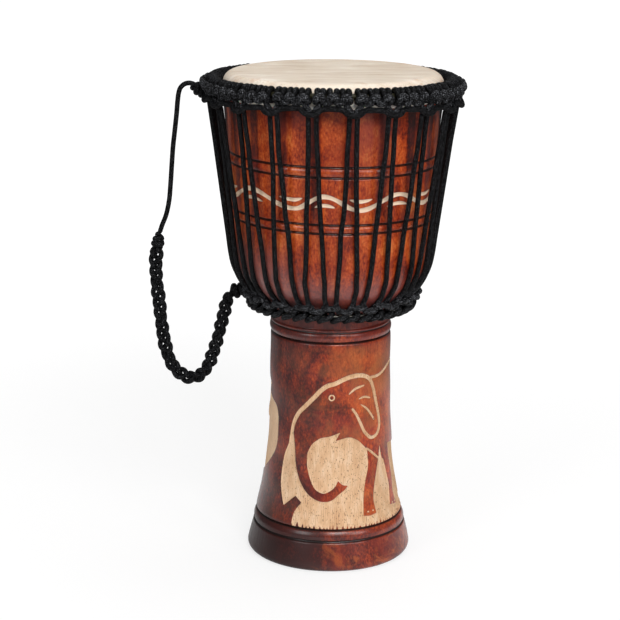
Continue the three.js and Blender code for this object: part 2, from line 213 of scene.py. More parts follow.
def mixed(tree, share, first, second):
    """Mix of two colours by a share."""
    node = add_node(tree, "ShaderNodeMix", data_type="RGBA")
    plug(tree, node.inputs, {0: share, 6: first, 7: second})
    return node.outputs[2]


def tinted(tree, colour, layers):
    """A colour tinted by each (mask, strength, everyday colour) in turn."""
    for mask, strength, tint in layers:
        colour = mixed(tree, maths(tree, "MULTIPLY", mask, strength), colour, srgb(*tint))
    return colour


def ramp(tree, value, stops):
    """Colour of a value by a ramp of (place, everyday colour) stops."""
    node = add_node(tree, "ShaderNodeValToRGB", {"Fac": value})
    elements = node.color_ramp.elements
    while len(elements) < len(stops):
        elements.new(0.5)
    for element, (place, colour) in zip(elements, stops):
        element.position = place
        element.color = srgb(*colour)
    return node.outputs["Color"]


def attribute(tree, name):
    """A number kept on the piece's own points."""
    return add_node(tree, "ShaderNodeAttribute", attribute_name=name).outputs["Fac"]


def object_coordinates(tree):
    """The piece's own coordinates, which are the drum's frame."""
    return add_node(tree, "ShaderNodeTexCoord").outputs["Object"]


def separated(tree, vector):
    """The X, Y and Z of a vector."""
    return add_node(tree, "ShaderNodeSeparateXYZ", {0: vector}).outputs


def bumped(tree, height, strength, distance):
    """A normal from a height, over a distance in metres."""
    inputs = {"Height": height, "Strength": strength, "Distance": distance}
    return add_node(tree, "ShaderNodeBump", inputs).outputs["Normal"]


def new_group(name, inputs, outputs):
    """An empty node group with named number or vector inputs and number outputs."""
    tree = bpy.data.node_groups.new(name, "ShaderNodeTree")
    for socket, default in inputs.items():
        kind = "NodeSocketVector" if default is None else "NodeSocketFloat"
        made = tree.interface.new_socket(socket, in_out="INPUT", socket_type=kind)
        if default is not None:
            made.default_value = default
    for socket in outputs:
        tree.interface.new_socket(socket, in_out="OUTPUT", socket_type="NodeSocketFloat")
    return tree, tree.nodes.new("NodeGroupInput").outputs, tree.nodes.new("NodeGroupOutput").inputs


def use_group(tree, group, inputs):
    """A node group placed in a material, with its own values."""
    return add_node(tree, "ShaderNodeGroup", inputs, node_tree=group).outputs


def new_material(name):
    """An empty node material with its output and shader: (material, tree, shader's inputs)."""
    material = bpy.data.materials.new(name)
    material.use_nodes = True
    tree = material.node_tree
    tree.nodes.clear()
    shader = tree.nodes.new("ShaderNodeBsdfPrincipled")
    output = tree.nodes.new("ShaderNodeOutputMaterial")
    tree.links.new(shader.outputs["BSDF"], output.inputs["Surface"])
    return material, tree, shader.inputs


# Shared effects

def make_grain_group():
    """Long streaks: noise on coordinates stretched along Z, and fine dark pores along the same way."""
    tree, given, out = new_group("long_grain", {"Vector": None, "Across": 60.0, "Along": 7.0},
                                 ("Streak", "Pore"))
    scales = (given["Across"], given["Across"], given["Along"])
    parts = [product(tree, part, scale) for part, scale in zip(separated(tree, given["Vector"]), scales)]
    stretched = add_node(tree, "ShaderNodeCombineXYZ", dict(enumerate(parts))).outputs[0]
    streak = noise(tree, stretched, 1.0, 5.0, 0.6, 0.4)
    fine = noise(tree, stretched, (9, 9, 4), 2.0, 0.5)
    plug(tree, out, {"Streak": streak, "Pore": between(tree, fine, 0.56, 0.68)})
    return tree


def make_sheath_group():
    """Woven rope sheath on a rope's own UV: two sets of slanted yarns, over and under by turns.

    The yarns' numbers are the floors of around + along and around - along; where their sum is even
    the first set lies on top, and the height is the half sine across the yarn on top.
    """
    tree, given, out = new_group("rope_sheath", {"Vector": None, "Yarns": 8.0, "Pitch": 0.0028},
                                 ("Height", "Cleft"))
    parts = separated(tree, given["Vector"])
    around = product(tree, parts["X"], given["Yarns"])
    along = maths(tree, "DIVIDE", parts["Y"], given["Pitch"])
    first = maths(tree, "ADD", around, along)
    second = maths(tree, "SUBTRACT", around, along)
    numbers = maths(tree, "ADD", maths(tree, "FLOOR", first), maths(tree, "FLOOR", second))
    parity = maths(tree, "FLOORED_MODULO", numbers, 2.0)
    heights = []
    for yarn in (first, second):
        share = maths(tree, "FRACT", yarn)
        heights.append(maths(tree, "SINE", product(tree, share, math.pi)))
    under = product(tree, heights[0], maths(tree, "SUBTRACT", 1.0, parity))
    height = maths(tree, "ADD", under, product(tree, heights[1], parity))
    plug(tree, out, {"Height": height, "Cleft": between(tree, height, 0.55, 0.1)})
    return tree


GRAIN = make_grain_group()
SHEATH = make_sheath_group()


# Materials

def stained(tree, place, grain, fine, blotch):
    """Colour of the stain, and a mask of the foot's left, which takes painted shading and a thinner coat.

    A ramp over clouds, streaks, blotches and specks gives the tone. It is darker on the foot, whose stain
    is darker, and darker as painted shading on the stem's left, the neck, low on the bowl, at the bottom
    ring, beside the laces where their shadows fall and under the collar. The tints are, in order: red
    clouds, yellow-brown patches raised on the stem's front and right as painted light, a rosy panel under
    the collar, painted shading with the foot's darker stain, warm spots on the foot, painted shading on
    its left, a pinkish painted reflection low on the bowl and a paler painted reflection at its lower
    left, pores, turned lines, and a dark lip round the carving.
    """
    x, y, z = separated(tree, place)

    def across(low, high):
        return between(tree, x, low, high)

    def up(low, high):
        return between(tree, z, low, high)

    stem = up(0.33, 0.28)
    bowl = maths(tree, "SUBTRACT", 1.0, stem)
    foot = up(0.062, 0.04)
    # Painted shading on the left of the stem and foot, away from the stronger light
    left = product(tree, across(0.045, -0.065), stem)
    # Painted shading on the foot's left
    foot_left_shading = product(tree, foot, across(0.0, -0.07))
    lace_wave = maths(tree, "COSINE", product(tree, maths(tree, "ARCTAN2", x, y), LACES))
    # Painted shading on the stem's left, its top under the bowl, low on the bowl, at the bottom ring, beside
    # the laces where their shadows fall and under the collar; the foot's share is its darker stain
    shading_and_dark_foot = summed(tree, left, [
        (product(tree, up(0.22, 0.285), stem), 0.35),
        (foot, 0.85),
        (product(tree, up(0.43, 0.35), bowl), 0.5),
        (product(tree, up(0.356, 0.334), bowl), 0.7),
        (product(tree, between(tree, lace_wave, -0.35, -0.85), up(0.41, 0.5)), 1.0),
        (up(0.53, 0.57), 0.5),
    ])
    tone = summed(tree, -0.44, [
        (noise(tree, place, 13.0, 3.0, 0.55, 0.6), 0.68), (grain["Streak"], 0.2), (blotch, 0.5),
        (fine["Streak"], 0.12), (noise(tree, place, (420, 420, 260), 2.0, 0.6), 0.52), (shading_and_dark_foot, -0.17),
        (stem, -0.05),
    ])
    colour = ramp(tree, tone, [
        (0.26, (62, 20, 17)), (0.38, (110, 34, 20)), (0.48, (154, 53, 24)),
        (0.56, (182, 71, 28)), (0.66, (206, 92, 40)), (0.78, (224, 124, 60)),
    ])
    # Yellow-brown stain in random patches, raised on the stem's front and right as painted light and held
    # back on the left, where shading is painted
    ochre_and_painted_light = between(tree, noise(tree, place, 27.0, 4.0, 0.62, 0.7), 0.4, 0.62)
    ochre_and_painted_light = summed(tree, ochre_and_painted_light, [(product(tree, across(-0.01, 0.06), up(0.17, 0.23)), 0.6)])
    ochre_and_painted_light = product(tree, ochre_and_painted_light, maths(tree, "SUBTRACT", stem, foot), summed(tree, 1.0, [(left, -0.75)]),
                    up(0.282, 0.272))
    warm_spots = between(tree, noise(tree, place, 34.0, 4.0, 0.65, 0.8), 0.52, 0.66)
    colour = tinted(tree, colour, [
        (between(tree, noise(tree, place, 19.0, 3.0), 0.5, 0.66), 0.55, (136, 40, 27)),
        (ochre_and_painted_light, 0.38, (172, 104, 54)),
        (product(tree, across(0.015, 0.04), across(0.08, 0.06), up(0.495, 0.54)), 0.6, (132, 52, 46)),
        # Painted shading, with the foot's darker stain
        (shading_and_dark_foot, 0.33, (62, 34, 33)),
        (product(tree, foot, across(-0.03, 0.02), warm_spots), 0.6, (176, 86, 38)),
        # Painted shading on the foot's left
        (foot_left_shading, 0.65, (28, 13, 13)),
        # Pinkish painted reflection of the pale floor low on the bowl
        (product(tree, up(0.375, 0.352), bowl), 0.34, (158, 96, 92)),
        # Paler painted reflection at the bowl's lower left
        (product(tree, across(-0.03, -0.075), up(0.425, 0.375), bowl), 0.4, (160, 122, 120)),
        (fine["Pore"], 0.5, (54, 25, 18)),
        (between(tree, attribute(tree, "line"), 0.08, 0.6), 0.92, (24, 14, 12)),
        (between(tree, attribute(tree, "bare"), -1.1, -0.1), 0.25, (64, 30, 20)),
    ])
    return colour, foot_left_shading


def bare_wood(tree, place):
    """Colour of the cut wood, and a mask of its chisel marks.

    The marks are fine upright lines, counted by the angle round the axis, swayed and broken up by noise.
    Dark flecks lie along the grain. The wood is paler on the bowl and, as painted light, at the far left.
    """
    x, y, z = separated(tree, place)
    counted = product(tree, noise(tree, place, (30, 30, 18), 2.0), 2.4)
    counted = summed(tree, counted, [(maths(tree, "ARCTAN2", x, y), CARVE_RADIUS / CHISEL_PITCH)])
    lines = maths(tree, "ABSOLUTE", maths(tree, "SUBTRACT", maths(tree, "FRACT", counted), 0.5))
    broken = between(tree, noise(tree, place, (330, 330, 110), 2.0), 0.4, 0.58)
    marks = product(tree, between(tree, lines, 0.3, 0.46), broken)
    colour = ramp(tree, noise(tree, place, (120, 120, 40)), [
        (0.3, (209, 166, 128)), (0.5, (222, 183, 145)), (0.7, (232, 200, 167)),
    ])
    colour = tinted(tree, colour, [
        (marks, 0.5, (160, 110, 70)),
        (between(tree, noise(tree, place, (680, 680, 330), 1.0), 0.62, 0.7), 0.65, (104, 64, 40)),
        (between(tree, z, 0.36, 0.42), 0.85, (248, 222, 196)),
        # Painted light on the far left
        (between(tree, x, -0.04, -0.07), 0.5, (246, 214, 182)),
    ])
    return colour, marks


def make_shell_wood():
    """Stained and varnished wood, bare where the carving cuts through the stain, raw on the inside.

    The point values on the mesh are: bare, the depth in millimetres inside a carved edge; line, 1 in a
    turned groove; inside, 1 on inner walls.
    """
    material, tree, shader = new_material("stained_wood")
    place = object_coordinates(tree)
    grain = use_group(tree, GRAIN, {"Vector": place, "Across": 48.0, "Along": 11.0})
    fine = use_group(tree, GRAIN, {"Vector": place, "Across": 230.0, "Along": 34.0})
    blotch = noise(tree, place, (70, 70, 38), 4.0, 0.62, 0.4)
    stain, foot_left_shading = stained(tree, place, grain, fine, blotch)
    pale, marks = bare_wood(tree, place)
    bare = between(tree, attribute(tree, "bare"), -0.12, 0.22)
    inside = attribute(tree, "inside")
    raw = mixed(tree, grain["Streak"], srgb(96, 62, 40), srgb(150, 108, 72))
    colour = mixed(tree, inside, mixed(tree, bare, stain, pale), raw)

    dull = maths(tree, "MAXIMUM", bare, inside)
    rough = summed(tree, 0.28, [(fine["Streak"], 0.24), (dull, 0.35)])
    # The coat is thinner on the foot's left, as painted shading
    varnish = maths(tree, "SUBTRACT", 1.0, maths(tree, "MAXIMUM", dull, product(tree, foot_left_shading, 0.6)))
    height = summed(tree, product(tree, blotch, 0.8), [(fine["Streak"], 0.6)])
    height = maths(tree, "SUBTRACT", height, product(tree, marks, bare, 0.9))
    plug(tree, shader, {"Base Color": colour, "Roughness": rough, "Coat Weight": varnish,
                        "Coat Roughness": 0.27, "Specular IOR Level": 0.1,
                        "Normal": bumped(tree, height, 0.4, 0.7 * MM)})
    return material


def make_goatskin():
    """Scraped goatskin: pale, streaked along X where the spine ran, with pink-brown patches and stray hairs.

    The edge value on the mesh rises from 0 at the middle to 1 at the skirt, and the lap value is 1 on
    the whiter lap.
    """
    material, tree, shader = new_material("goatskin")
    place = object_coordinates(tree)
    streak = noise(tree, place, (15, 75, 40), 5.0, 0.66, 0.5)
    cloud = noise(tree, place, 16.0, 4.0, 0.6)
    colour = ramp(tree, summed(tree, product(tree, cloud, 0.4), [(streak, 0.6)]), [
        (0.33, (204, 181, 155)), (0.44, (222, 205, 185)), (0.55, (232, 218, 200)), (0.66, (248, 239, 225)),
    ])
    edge = attribute(tree, "edge")
    patches = between(tree, noise(tree, place, 34.0, 4.0, 0.7), 0.5, 0.7)
    hairs = between(tree, noise(tree, place, (700, 1100, 700), 1.0), 0.68, 0.74)
    colour = tinted(tree, colour, [
        (product(tree, patches, edge), 0.65, (203, 164, 134)),
        (attribute(tree, "lap"), 1.0, (247, 241, 230)),
        (product(tree, hairs, maths(tree, "ADD", edge, 0.12)), 0.6, (134, 104, 84)),
    ])
    pores = noise(tree, place, 900.0, 2.0)
    height = summed(tree, product(tree, pores, 0.25), [(streak, 1.0)])
    plug(tree, shader, {"Base Color": colour, "Roughness": summed(tree, 0.38, [(cloud, 0.25)]),
                        "Normal": bumped(tree, height, 0.25, 0.5 * MM),
                        "Subsurface Weight": 0.08, "Subsurface Radius": (0.004, 0.0025, 0.0015)})
    return material


def make_black_rope():
    """Black rope with a woven sheath: worn grey tops of yarns, black clefts between them.

    The value for wear and shading on the mesh is 1 where the rope lies open and rubs, and 0 deep inside a
    hitch, where the black is painted shading.
    """
    material, tree, shader = new_material("black_rope")
    coordinates = add_node(tree, "ShaderNodeTexCoord").outputs
    sheath = use_group(tree, SHEATH, {"Vector": coordinates["UV"], "Yarns": 9.0, "Pitch": 2.5 * MM})
    worn = between(tree, noise(tree, coordinates["Object"], 600.0, 2.0, 0.6), 0.43, 0.7)
    # Worn grey tops, kept black deep in a hitch as painted shading
    tops = product(tree, worn, between(tree, sheath["Height"], 0.6, 0.95), attribute(tree, "wear_and_shading"))
    yarn = mixed(tree, tops, srgb(4, 4, 5), srgb(136, 138, 144))
    colour = mixed(tree, sheath["Cleft"], yarn, srgb(2, 2, 3))
    height = summed(tree, sheath["Height"], [(noise(tree, coordinates["Object"], 1500.0, 2.0), 0.3)])
    plug(tree, shader, {"Base Color": colour, "Roughness": summed(tree, 0.5, [(worn, 0.2)]),
                        "Normal": bumped(tree, height, 0.9, 0.5 * MM), "Specular IOR Level": 0.1})
    return material


def make_rod(name, dark, light, metal, roughness):
    """Drawn steel rod with faint dull patches, in the colours given."""
    material, tree, shader = new_material(name)
    place = object_coordinates(tree)
    patch = noise(tree, place, 90.0, 4.0, 0.6)
    plug(tree, shader, {"Base Color": mixed(tree, patch, dark, light), "Metallic": metal,
                        "Roughness": summed(tree, roughness, [(patch, 0.25)]),
                        "Normal": bumped(tree, noise(tree, place, 700.0, 2.0), 0.15, 0.2 * MM)})
    return material


WOOD = make_shell_wood()
GOATSKIN = make_goatskin()
BLACK_ROPE = make_black_rope()
BRIGHT_ROD = make_rod("bright_rod", srgb(58, 56, 52), srgb(120, 118, 112), 1.0, 0.14)
OLIVE_ROD = make_rod("olive_rod", srgb(30, 29, 17), srgb(62, 58, 34), 0.3, 0.4)


# Mesh helpers

def unit(vectors):
    """Vectors of length one."""
    return vectors / np.linalg.norm(vectors, axis=-1, keepdims=True)


def grown(value, start, span):
    """0 up to a start, 1 from a span beyond it, straight between; a negative span counts downwards."""
    return np.clip((value - start) / span, 0, 1)


def full_turn(count, start=0):
    """Even angles once round, in radians."""
    return np.linspace(start, start + 2 * math.pi, count, endpoint=False)


def put_grid(name, points, material, loop_rows, loop_columns, caps=False, along=None, values=None):
    """A mesh from an (n, m, 3) grid of points: a quad for each cell, joined round where a loop is asked.

    UV is the share of the way round a row and the distance along the rows. Caps close the first and
    last rows with a flat face.
    """
    rows, columns = points.shape[:2]
    i, j = np.meshgrid(np.arange(rows if loop_rows else rows - 1),
                       np.arange(columns if loop_columns else columns - 1), indexing="ij")
    row = np.stack([i, i, i + 1, i + 1], axis=-1).reshape(-1, 4)
    column = np.stack([j, j + 1, j + 1, j], axis=-1).reshape(-1, 4)
    quads = (row % rows) * columns + column % columns
    corners = [quads.ravel()]
    sizes = [np.full(len(quads), 4)]
    if along is None:
        along = np.arange(rows + 1) / rows
    uvs = [np.stack([column.ravel() / columns, along[row.ravel()]], axis=-1)]
    if caps:
        ring = np.arange(columns)
        for cap, place in ((ring[::-1], along[0]), (ring + (rows - 1) * columns, along[rows - 1])):
            corners.append(cap)
            sizes.append([columns])
            uvs.append(np.stack([ring / columns, np.full(columns, place)], axis=-1))
    corners = np.concatenate(corners).astype(np.int32)
    sizes = np.concatenate(sizes)
    starts = np.concatenate([[0], np.cumsum(sizes)[:-1]]).astype(np.int32)

    mesh = bpy.data.meshes.new(name)
    mesh.vertices.add(rows * columns)
    mesh.vertices.foreach_set("co", points.reshape(-1).astype(np.float32))
    mesh.loops.add(len(corners))
    mesh.loops.foreach_set("vertex_index", corners)
    mesh.polygons.add(len(sizes))
    mesh.polygons.foreach_set("loop_start", starts)
    mesh.polygons.foreach_set("use_smooth", np.ones(len(sizes), bool))
    mesh.update(calc_edges=True)
    layer = mesh.uv_layers.new(name="UVMap")
    layer.data.foreach_set("uv", np.concatenate(uvs).reshape(-1).astype(np.float32))
    for key, numbers in (values or {}).items():
        kept = mesh.attributes.new(key, "FLOAT", "POINT")
        kept.data.foreach_set("value", numbers.reshape(-1).astype(np.float32))
    mesh.materials.append(material)
    piece = bpy.data.objects.new(name, mesh)
    bpy.context.scene.collection.objects.link(piece)
    return piece


def dress(piece, body, slot, *nodes):
    """Says which body a piece moves with and which CAD nodes it stands for, which it hides. The slot is not
    used.
    """
    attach(piece, body)
    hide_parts(*nodes)
    return piece


def lengths_along(path):
    """Distance of each point of a path from its start."""
    return np.concatenate([[0], np.cumsum(np.linalg.norm(np.diff(path, axis=0), axis=1))])


def smooth_path(points, step):
    """A Hermite curve through points, its knots at the summed chords and its slopes by differences."""
    points = np.asarray(points, float)
    knots = lengths_along(points)
    slopes = np.gradient(points, knots, axis=0)
    places = np.linspace(0, knots[-1], max(3, int(knots[-1] / step) + 2))
    span = np.clip(np.searchsorted(knots, places, side="right") - 1, 0, len(knots) - 2)
    width = (knots[span + 1] - knots[span])[:, None]
    share = (places - knots[span])[:, None] / width
    rest = 1 - share
    return ((1 + 2 * share) * rest ** 2 * points[span] + share * rest ** 2 * width * slopes[span]
            + share ** 2 * (3 - 2 * share) * points[span + 1] - share ** 2 * rest * width * slopes[span + 1])


def carried_normals(path, first_normal):
    """Directions square to a path without twist: each is the last one less its part along the path."""
    normals = np.empty_like(path)
    normal = np.asarray(first_normal, float)
    for k, tangent in enumerate(unit(np.gradient(path, axis=0))):
        normal = unit(normal - (normal @ tangent) * tangent)
        normals[k] = normal
    return normals


def rope_rings(path, radius, sides, facing, closed=False, flat=1.0):
    """Rings of a rope: ellipses square to its path, pressed flat on the faced side, domed at free ends."""
    if closed:
        tangents = unit(np.roll(path, -1, axis=0) - np.roll(path, 1, axis=0))
    else:
        tangents = unit(np.gradient(path, axis=0))
    facing = np.broadcast_to(facing, path.shape)
    normals = unit(facing - np.sum(facing * tangents, axis=1, keepdims=True) * tangents)
    crosses = np.cross(tangents, normals)
    sizes = np.broadcast_to(radius, len(path))
    if not closed:
        along = lengths_along(path)
        inwards = np.clip(np.minimum(along, along[-1] - along) / sizes, 0.03, 1)
        sizes = sizes * np.sqrt(1 - (1 - inwards) ** 2)
    angle = full_turn(sides)[None, :, None]
    ring = flat * np.cos(angle) * normals[:, None] + np.sin(angle) * crosses[:, None]
    return path[:, None] + sizes[:, None, None] * ring


def put_rope(name, path, sides, facing, radius=ROPE_RADIUS, closed=False, flat=1.0, hitched_on=None,
             level=None):
    """A rope laid along a path, half rubbed, or greyed by its reach from a ring that it is hitched on: worn
    out in the open and black deep in the hitch as painted shading.

    The level path is the same rope before it sagged away from a level ring.
    """
    along = lengths_along(path if not closed else np.concatenate([path, path[:1]]))
    rings = rope_rings(path, radius, sides, facing, closed, flat)
    wear_and_shading = np.full(rings.shape[:2], HALF_RUBBED)
    if hitched_on is not None:
        # A hitched rope is worn grey in the open and black deep in the hitch as painted shading
        hitch = rings if level is None else rope_rings(level, radius, sides, facing, closed, flat)
        reach = np.linalg.norm(from_ring(hitch, hitched_on), axis=-1) / MM
        wear_and_shading = np.interp(reach, WEAR_AND_SHADING_REACH, WEAR_AND_SHADING_SHARE)
    return put_grid(name, rings, BLACK_ROPE, closed, True, caps=not closed, along=along,
                    values={"wear_and_shading": wear_and_shading})


def around(angle, radius, height):
    """Points in space from an angle round the drum's axis counted from +X, a radius and a height."""
    return np.stack(np.broadcast_arrays(radius * np.cos(angle), radius * np.sin(angle), height), axis=-1)


def in_section(centre, turn, reach):
    """(radius, height) of points at a turn, in degrees above level, and a reach from a ring's centre."""
    turn = np.radians(turn)
    return centre[0] + reach * np.cos(turn), centre[1] + reach * np.sin(turn)


def arc(centre, radius, start, end, count):
    """(radius, height) points of an arc between two turns, in degrees."""
    return np.stack(in_section(centre, np.linspace(start, end, count), radius), axis=-1)


def tangent_turn(centre, radius, point):
    """Degrees round a circle to the place where the tangent from a higher, outer point touches it."""
    away = np.array(point) - centre
    return math.degrees(math.atan2(away[1], away[0]) - math.acos(radius / math.hypot(*away)))


def from_ring(points, centre):
    """Directions from the nearest point of a ring's centre line to the points given."""
    flat = points * [1, 1, 0]
    return points - unit(flat) * centre[0] - np.array([0, 0, centre[1]])


# Strap

def strap_points(route):
    """The strap's route in space, on the -X side."""
    route = np.array(route) * MM
    return np.stack([-route[:, 0], np.zeros(len(route)), route[:, 1]], axis=-1)


SIDEWAYS = (0, 1, 0)
UPWARDS = (0, 0, 1)
cord_path = smooth_path(strap_points(STRAP_CORD), 1.5 * MM)
strap_line = put_rope("strap_line", cord_path, 14, SIDEWAYS)
dress(strap_line, "strap", "black_rope", "strap_cord")


def put_plait(name, path):
    """Three strands plaited flat along a path.

    Strand k swings across by sin(t + k thirds of a turn), and to and fro by the sine of twice that,
    while t grows along the path. The swings die away towards both ends, where the strands draw in, and
    the plait is slacker and tighter by turns: two waves along the path widen and narrow the swings.
    """
    period = 40 * MM
    strand_radius = 3.2 * MM
    across_swing = BRAID_WIDTH / 2 - strand_radius
    depth_swing = 3.3 * MM
    drawn_in = 9 * MM
    along = lengths_along(path)
    ends = np.minimum(along / drawn_in + 0.3, (along[-1] - along) / drawn_in)
    way = 2 * math.pi * along
    slack = 1 + 0.08 * np.sin(way / (53 * MM)) - 0.08 * np.cos(way / (23 * MM))
    open_share = (np.clip(ends, 0.12, 1) * slack)[:, None]
    outward = np.array(SIDEWAYS, float)
    in_plane = unit(np.cross(np.gradient(path, axis=0), outward))
    strands = []
    for strand in range(3):
        t = (way / period + strand * 2 * math.pi / 3)[:, None]
        swing = across_swing * np.sin(t) * in_plane + depth_swing * np.sin(2 * t) * outward
        strands.append(put_rope(f"{name}_strand", path + open_share * swing, 12, SIDEWAYS, strand_radius))
    return join_pieces(name, strands)


def join_pieces(name, pieces):
    """Several meshes made into one piece."""
    with bpy.context.temp_override(active_object=pieces[0], selected_editable_objects=pieces):
        bpy.ops.object.join()
    pieces[0].name = name
    pieces[0].data.name = name
    return pieces[0]


braid_path = smooth_path(strap_points(STRAP_BRAID), 1.3 * MM)
strap_plait = put_plait("strap_plait", braid_path)
dress(strap_plait, "strap", "black_rope", "strap_braid")


def coil(start, end, radii, turns):
    """A rope wound round the line from start to end, its radius following the radii given.

    It is a helix that hardly climbs at the front and makes up for it at the back: along the line it goes
    by the angle plus a share of the angle's cosine.
    """
    start, end = np.array(start), np.array(end)
    angle = np.linspace(0, 2 * math.pi * turns, int(40 * turns))[:, None]
    t = angle + 0.75 * (np.cos(angle) - 1)
    t = t / t[-1]
    axis = unit(end - start)
    side = unit(np.cross(axis, SIDEWAYS))
    radius = np.interp(t[:, 0], np.linspace(0, 1, len(radii)), radii)[:, None]
    return start + t * (end - start) + radius * (np.cos(angle) * side + np.sin(angle) * np.cross(axis, side))


KNOT_ROPE = 3.8 * MM  # half width of the rope in the strap's knots
TOP_KNOT = strap_points([(155.5, 574.6), (168.4, 580.4)])
LOW_KNOT = strap_points([(108.5, 330.6), (124.6, 327.4)])


def put_knot(name, ends, radii, turns, facing):
    """A knot wound between two ends, its radii given in millimetres from the one end to the other."""
    return put_rope(name, coil(*ends, np.array(radii) * MM, turns), 12, facing, KNOT_ROPE)


middle_ends = (cord_path[-1], braid_path[1])
middle_knot = put_knot("strap_middle_knot", middle_ends, [0.6, 2.0, 3.0, 3.8, 4.4, 4.6, 4.6, 4.4], 3, UPWARDS)
dress(middle_knot, "strap", "black_rope", "strap_mid_knot")
top_knot = put_knot("strap_top_tie", TOP_KNOT, [6.0, 6.0, 5.4, 4.2, 2.6, 1.4], 2.2, UPWARDS)
dress(top_knot, "drum", "black_rope", "strap_top_knot")
low_knot = put_knot("strap_low_tie", LOW_KNOT, [4.4, 5.8, 6.2, 6.0, 5.4, 4.0], 2.2, (1, 0, 0))
dress(low_knot, "drum", "black_rope", "strap_low_knot")


# Shell: profile

def groove(z, middle):
    """Depth of a turned groove: a raised cosine across its width."""
    away = grown(np.abs(z - middle), 0, GROOVE_WIDTH / 2)
    return GROOVE_DEPTH * (0.5 + 0.5 * np.cos(math.pi * away))


def bead(z, low, high, proud):
    """Swell of a turned bead between two heights: half a sine."""
    return proud * np.sin(math.pi * grown(z, low, high - low))


def flared(z, stem, foot):
    """Bell flare: the stem's radius plus the gap to the foot's times e to minus a power of the height."""
    return stem + (foot - stem) * np.exp(-((z / FLARE_HEIGHT) ** FLARE_POWER))


def stem_radius(z):
    """Stem and foot: a bell flare with a rounded lower edge."""
    below = grown(z, FOOT_ROUND, -FOOT_ROUND)
    return flared(z, STEM_RADIUS, FOOT_RADIUS) - FOOT_ROUND * (1 - np.sqrt(1 - below ** 2))


def in_order(*runs):
    """Heights from several runs, sorted, each once."""
    return np.unique(np.round(np.concatenate(runs), 7))


BOWL_BOTTOM = BOWL_CENTRE[1] - math.sqrt(BOWL_CURVE ** 2 - (NECK_RADIUS - BOWL_CENTRE[0]) ** 2)
NECK_FOOT = STEM_TOP + 2.6 * MM
# The stem's turned beads (foot, top and swell) and grooves (middle, and share of the full depth)
STEM_BEADS = [
    (FOOT_LINES[0] + 2 * MM, FOOT_LINES[1] - 2 * MM, 1.0 * MM),
    (BEAD_FOOT + 1.6 * MM, STEM_TOP - 1.4 * MM, 1.4 * MM),
    (STEM_TOP - 1.2 * MM, STEM_TOP + 2.8 * MM, 0.5 * MM),
]
STEM_GROOVES = [(FOOT_LINES[0], 1), (FOOT_LINES[1], 1), (BEAD_FOOT, 1), (STEM_TOP - 1.3 * MM, 0.5)]


# Shell: carving on the stem, drawn on the unrolled surface in degrees from the front and millimetres up

CARVE_DEPTH = 1.2 * MM
CARVE_SLOPE = 1.3 * MM  # width of the slope from the stain down to the floor of a cut
CARVE_REACH = 4 * MM  # distances from an edge are measured as far as this
STEM_PROUD = 0.5 * MM  # the carved stem stands this much outside the turned radius
GRASS_LINE = 52.6 * MM
GRASS_PITCH = 4.4 * MM
BLADE_HALF = 1.15 * MM

# Pale ground between the tree, the elephant and the foot; straight corners part the smooth runs
GROUND = [
    [(-28, 40), (-32, 52), (-36, 66), (-39.8, 74.5), (-43, 86), (-45.6, 100), (-46.2, 118), (-44.3, 137),
     (-39.6, 153), (-36.8, 168)],
    [(-36.8, 168), (-30, 158), (-19.8, 145)],
    [(-19.8, 145), (-15.7, 156), (-9.3, 163.2), (1.1, 166.9), (10, 171.4)],
    [(10, 171.4), (5.6, 160.9)],
    [(5.6, 160.9), (12.4, 163.4), (18.2, 164.6), (26.5, 160), (33.3, 151.2), (36.5, 146.5)],
    [(36.5, 146.5), (50.4, 132)],
    [(50.4, 132), (52.6, 147)],
    [(52.6, 147), (57, 128), (66, 128), (67.5, 145)],
    [(67.5, 145), (85, 141), (108, 142), (132, 141), (149, 146)],
    [(149, 146), (158, 120), (161, 90), (168, 40)],
    [(168, 40), (-28, 40)],
]
TRUNK = [
    [(-36.4, 174), (-34.2, 162), (-32.6, 148.7), (-30.9, 127.1), (-25.4, 107), (-14.8, 90.4), (-5.4, 85.4),
     (2, 87.2), (8, 94), (13.3, 99.6)],
    [(13.3, 99.6), (16.6, 104.6)],
    [(16.6, 104.6), (12.1, 105.8), (7.8, 111.2)],
    [(7.8, 111.2), (5.4, 104.2), (1.5, 99.2), (-4.4, 95.6), (-10.5, 98.8), (-16.8, 113), (-20, 131),
     (-19.9, 144), (-15.9, 156), (-9.3, 163.4)],
    [(-9.3, 163.4), (-8, 180), (-36.4, 174)],
]
FRONT_LEG = [
    [(36.6, 146), (37, 128), (33, 107), (30.4, 88), (28.8, 65.8)],
    [(28.8, 65.8), (35, 64.4), (41.6, 65.6)],
    [(41.6, 65.6), (40.2, 80.8), (43.2, 103.8), (46.5, 118.4), (49.8, 130.4)],
    [(49.8, 130.4), (36.6, 146)],
]
FAR_LEG = [
    [(50, 165), (52.8, 146), (57.6, 127), (60.8, 108), (62.6, 92), (60, 68.6)],
    [(60, 68.6), (71.6, 65.4)],
    [(71.6, 65.4), (68.6, 83), (70.2, 100), (69.2, 116), (67.6, 132), (66, 165)],
    [(66, 165), (50, 165)],
]
STUB = [
    [(-60, 84), (-39.8, 74.5)],
    [(-39.8, 74.5), (-28.8, 89.4)],
    [(-28.8, 89.4), (-23, 82.4)],
    [(-23, 82.4), (-28.6, 70), (-30.2, 58), (-29.4, 46)],
    [(-29.4, 46), (-60, 40)],
    [(-60, 40), (-60, 84)],
]
HIND_TURNS = (70, 76)  # degrees from the near and the far fore leg to the hind legs
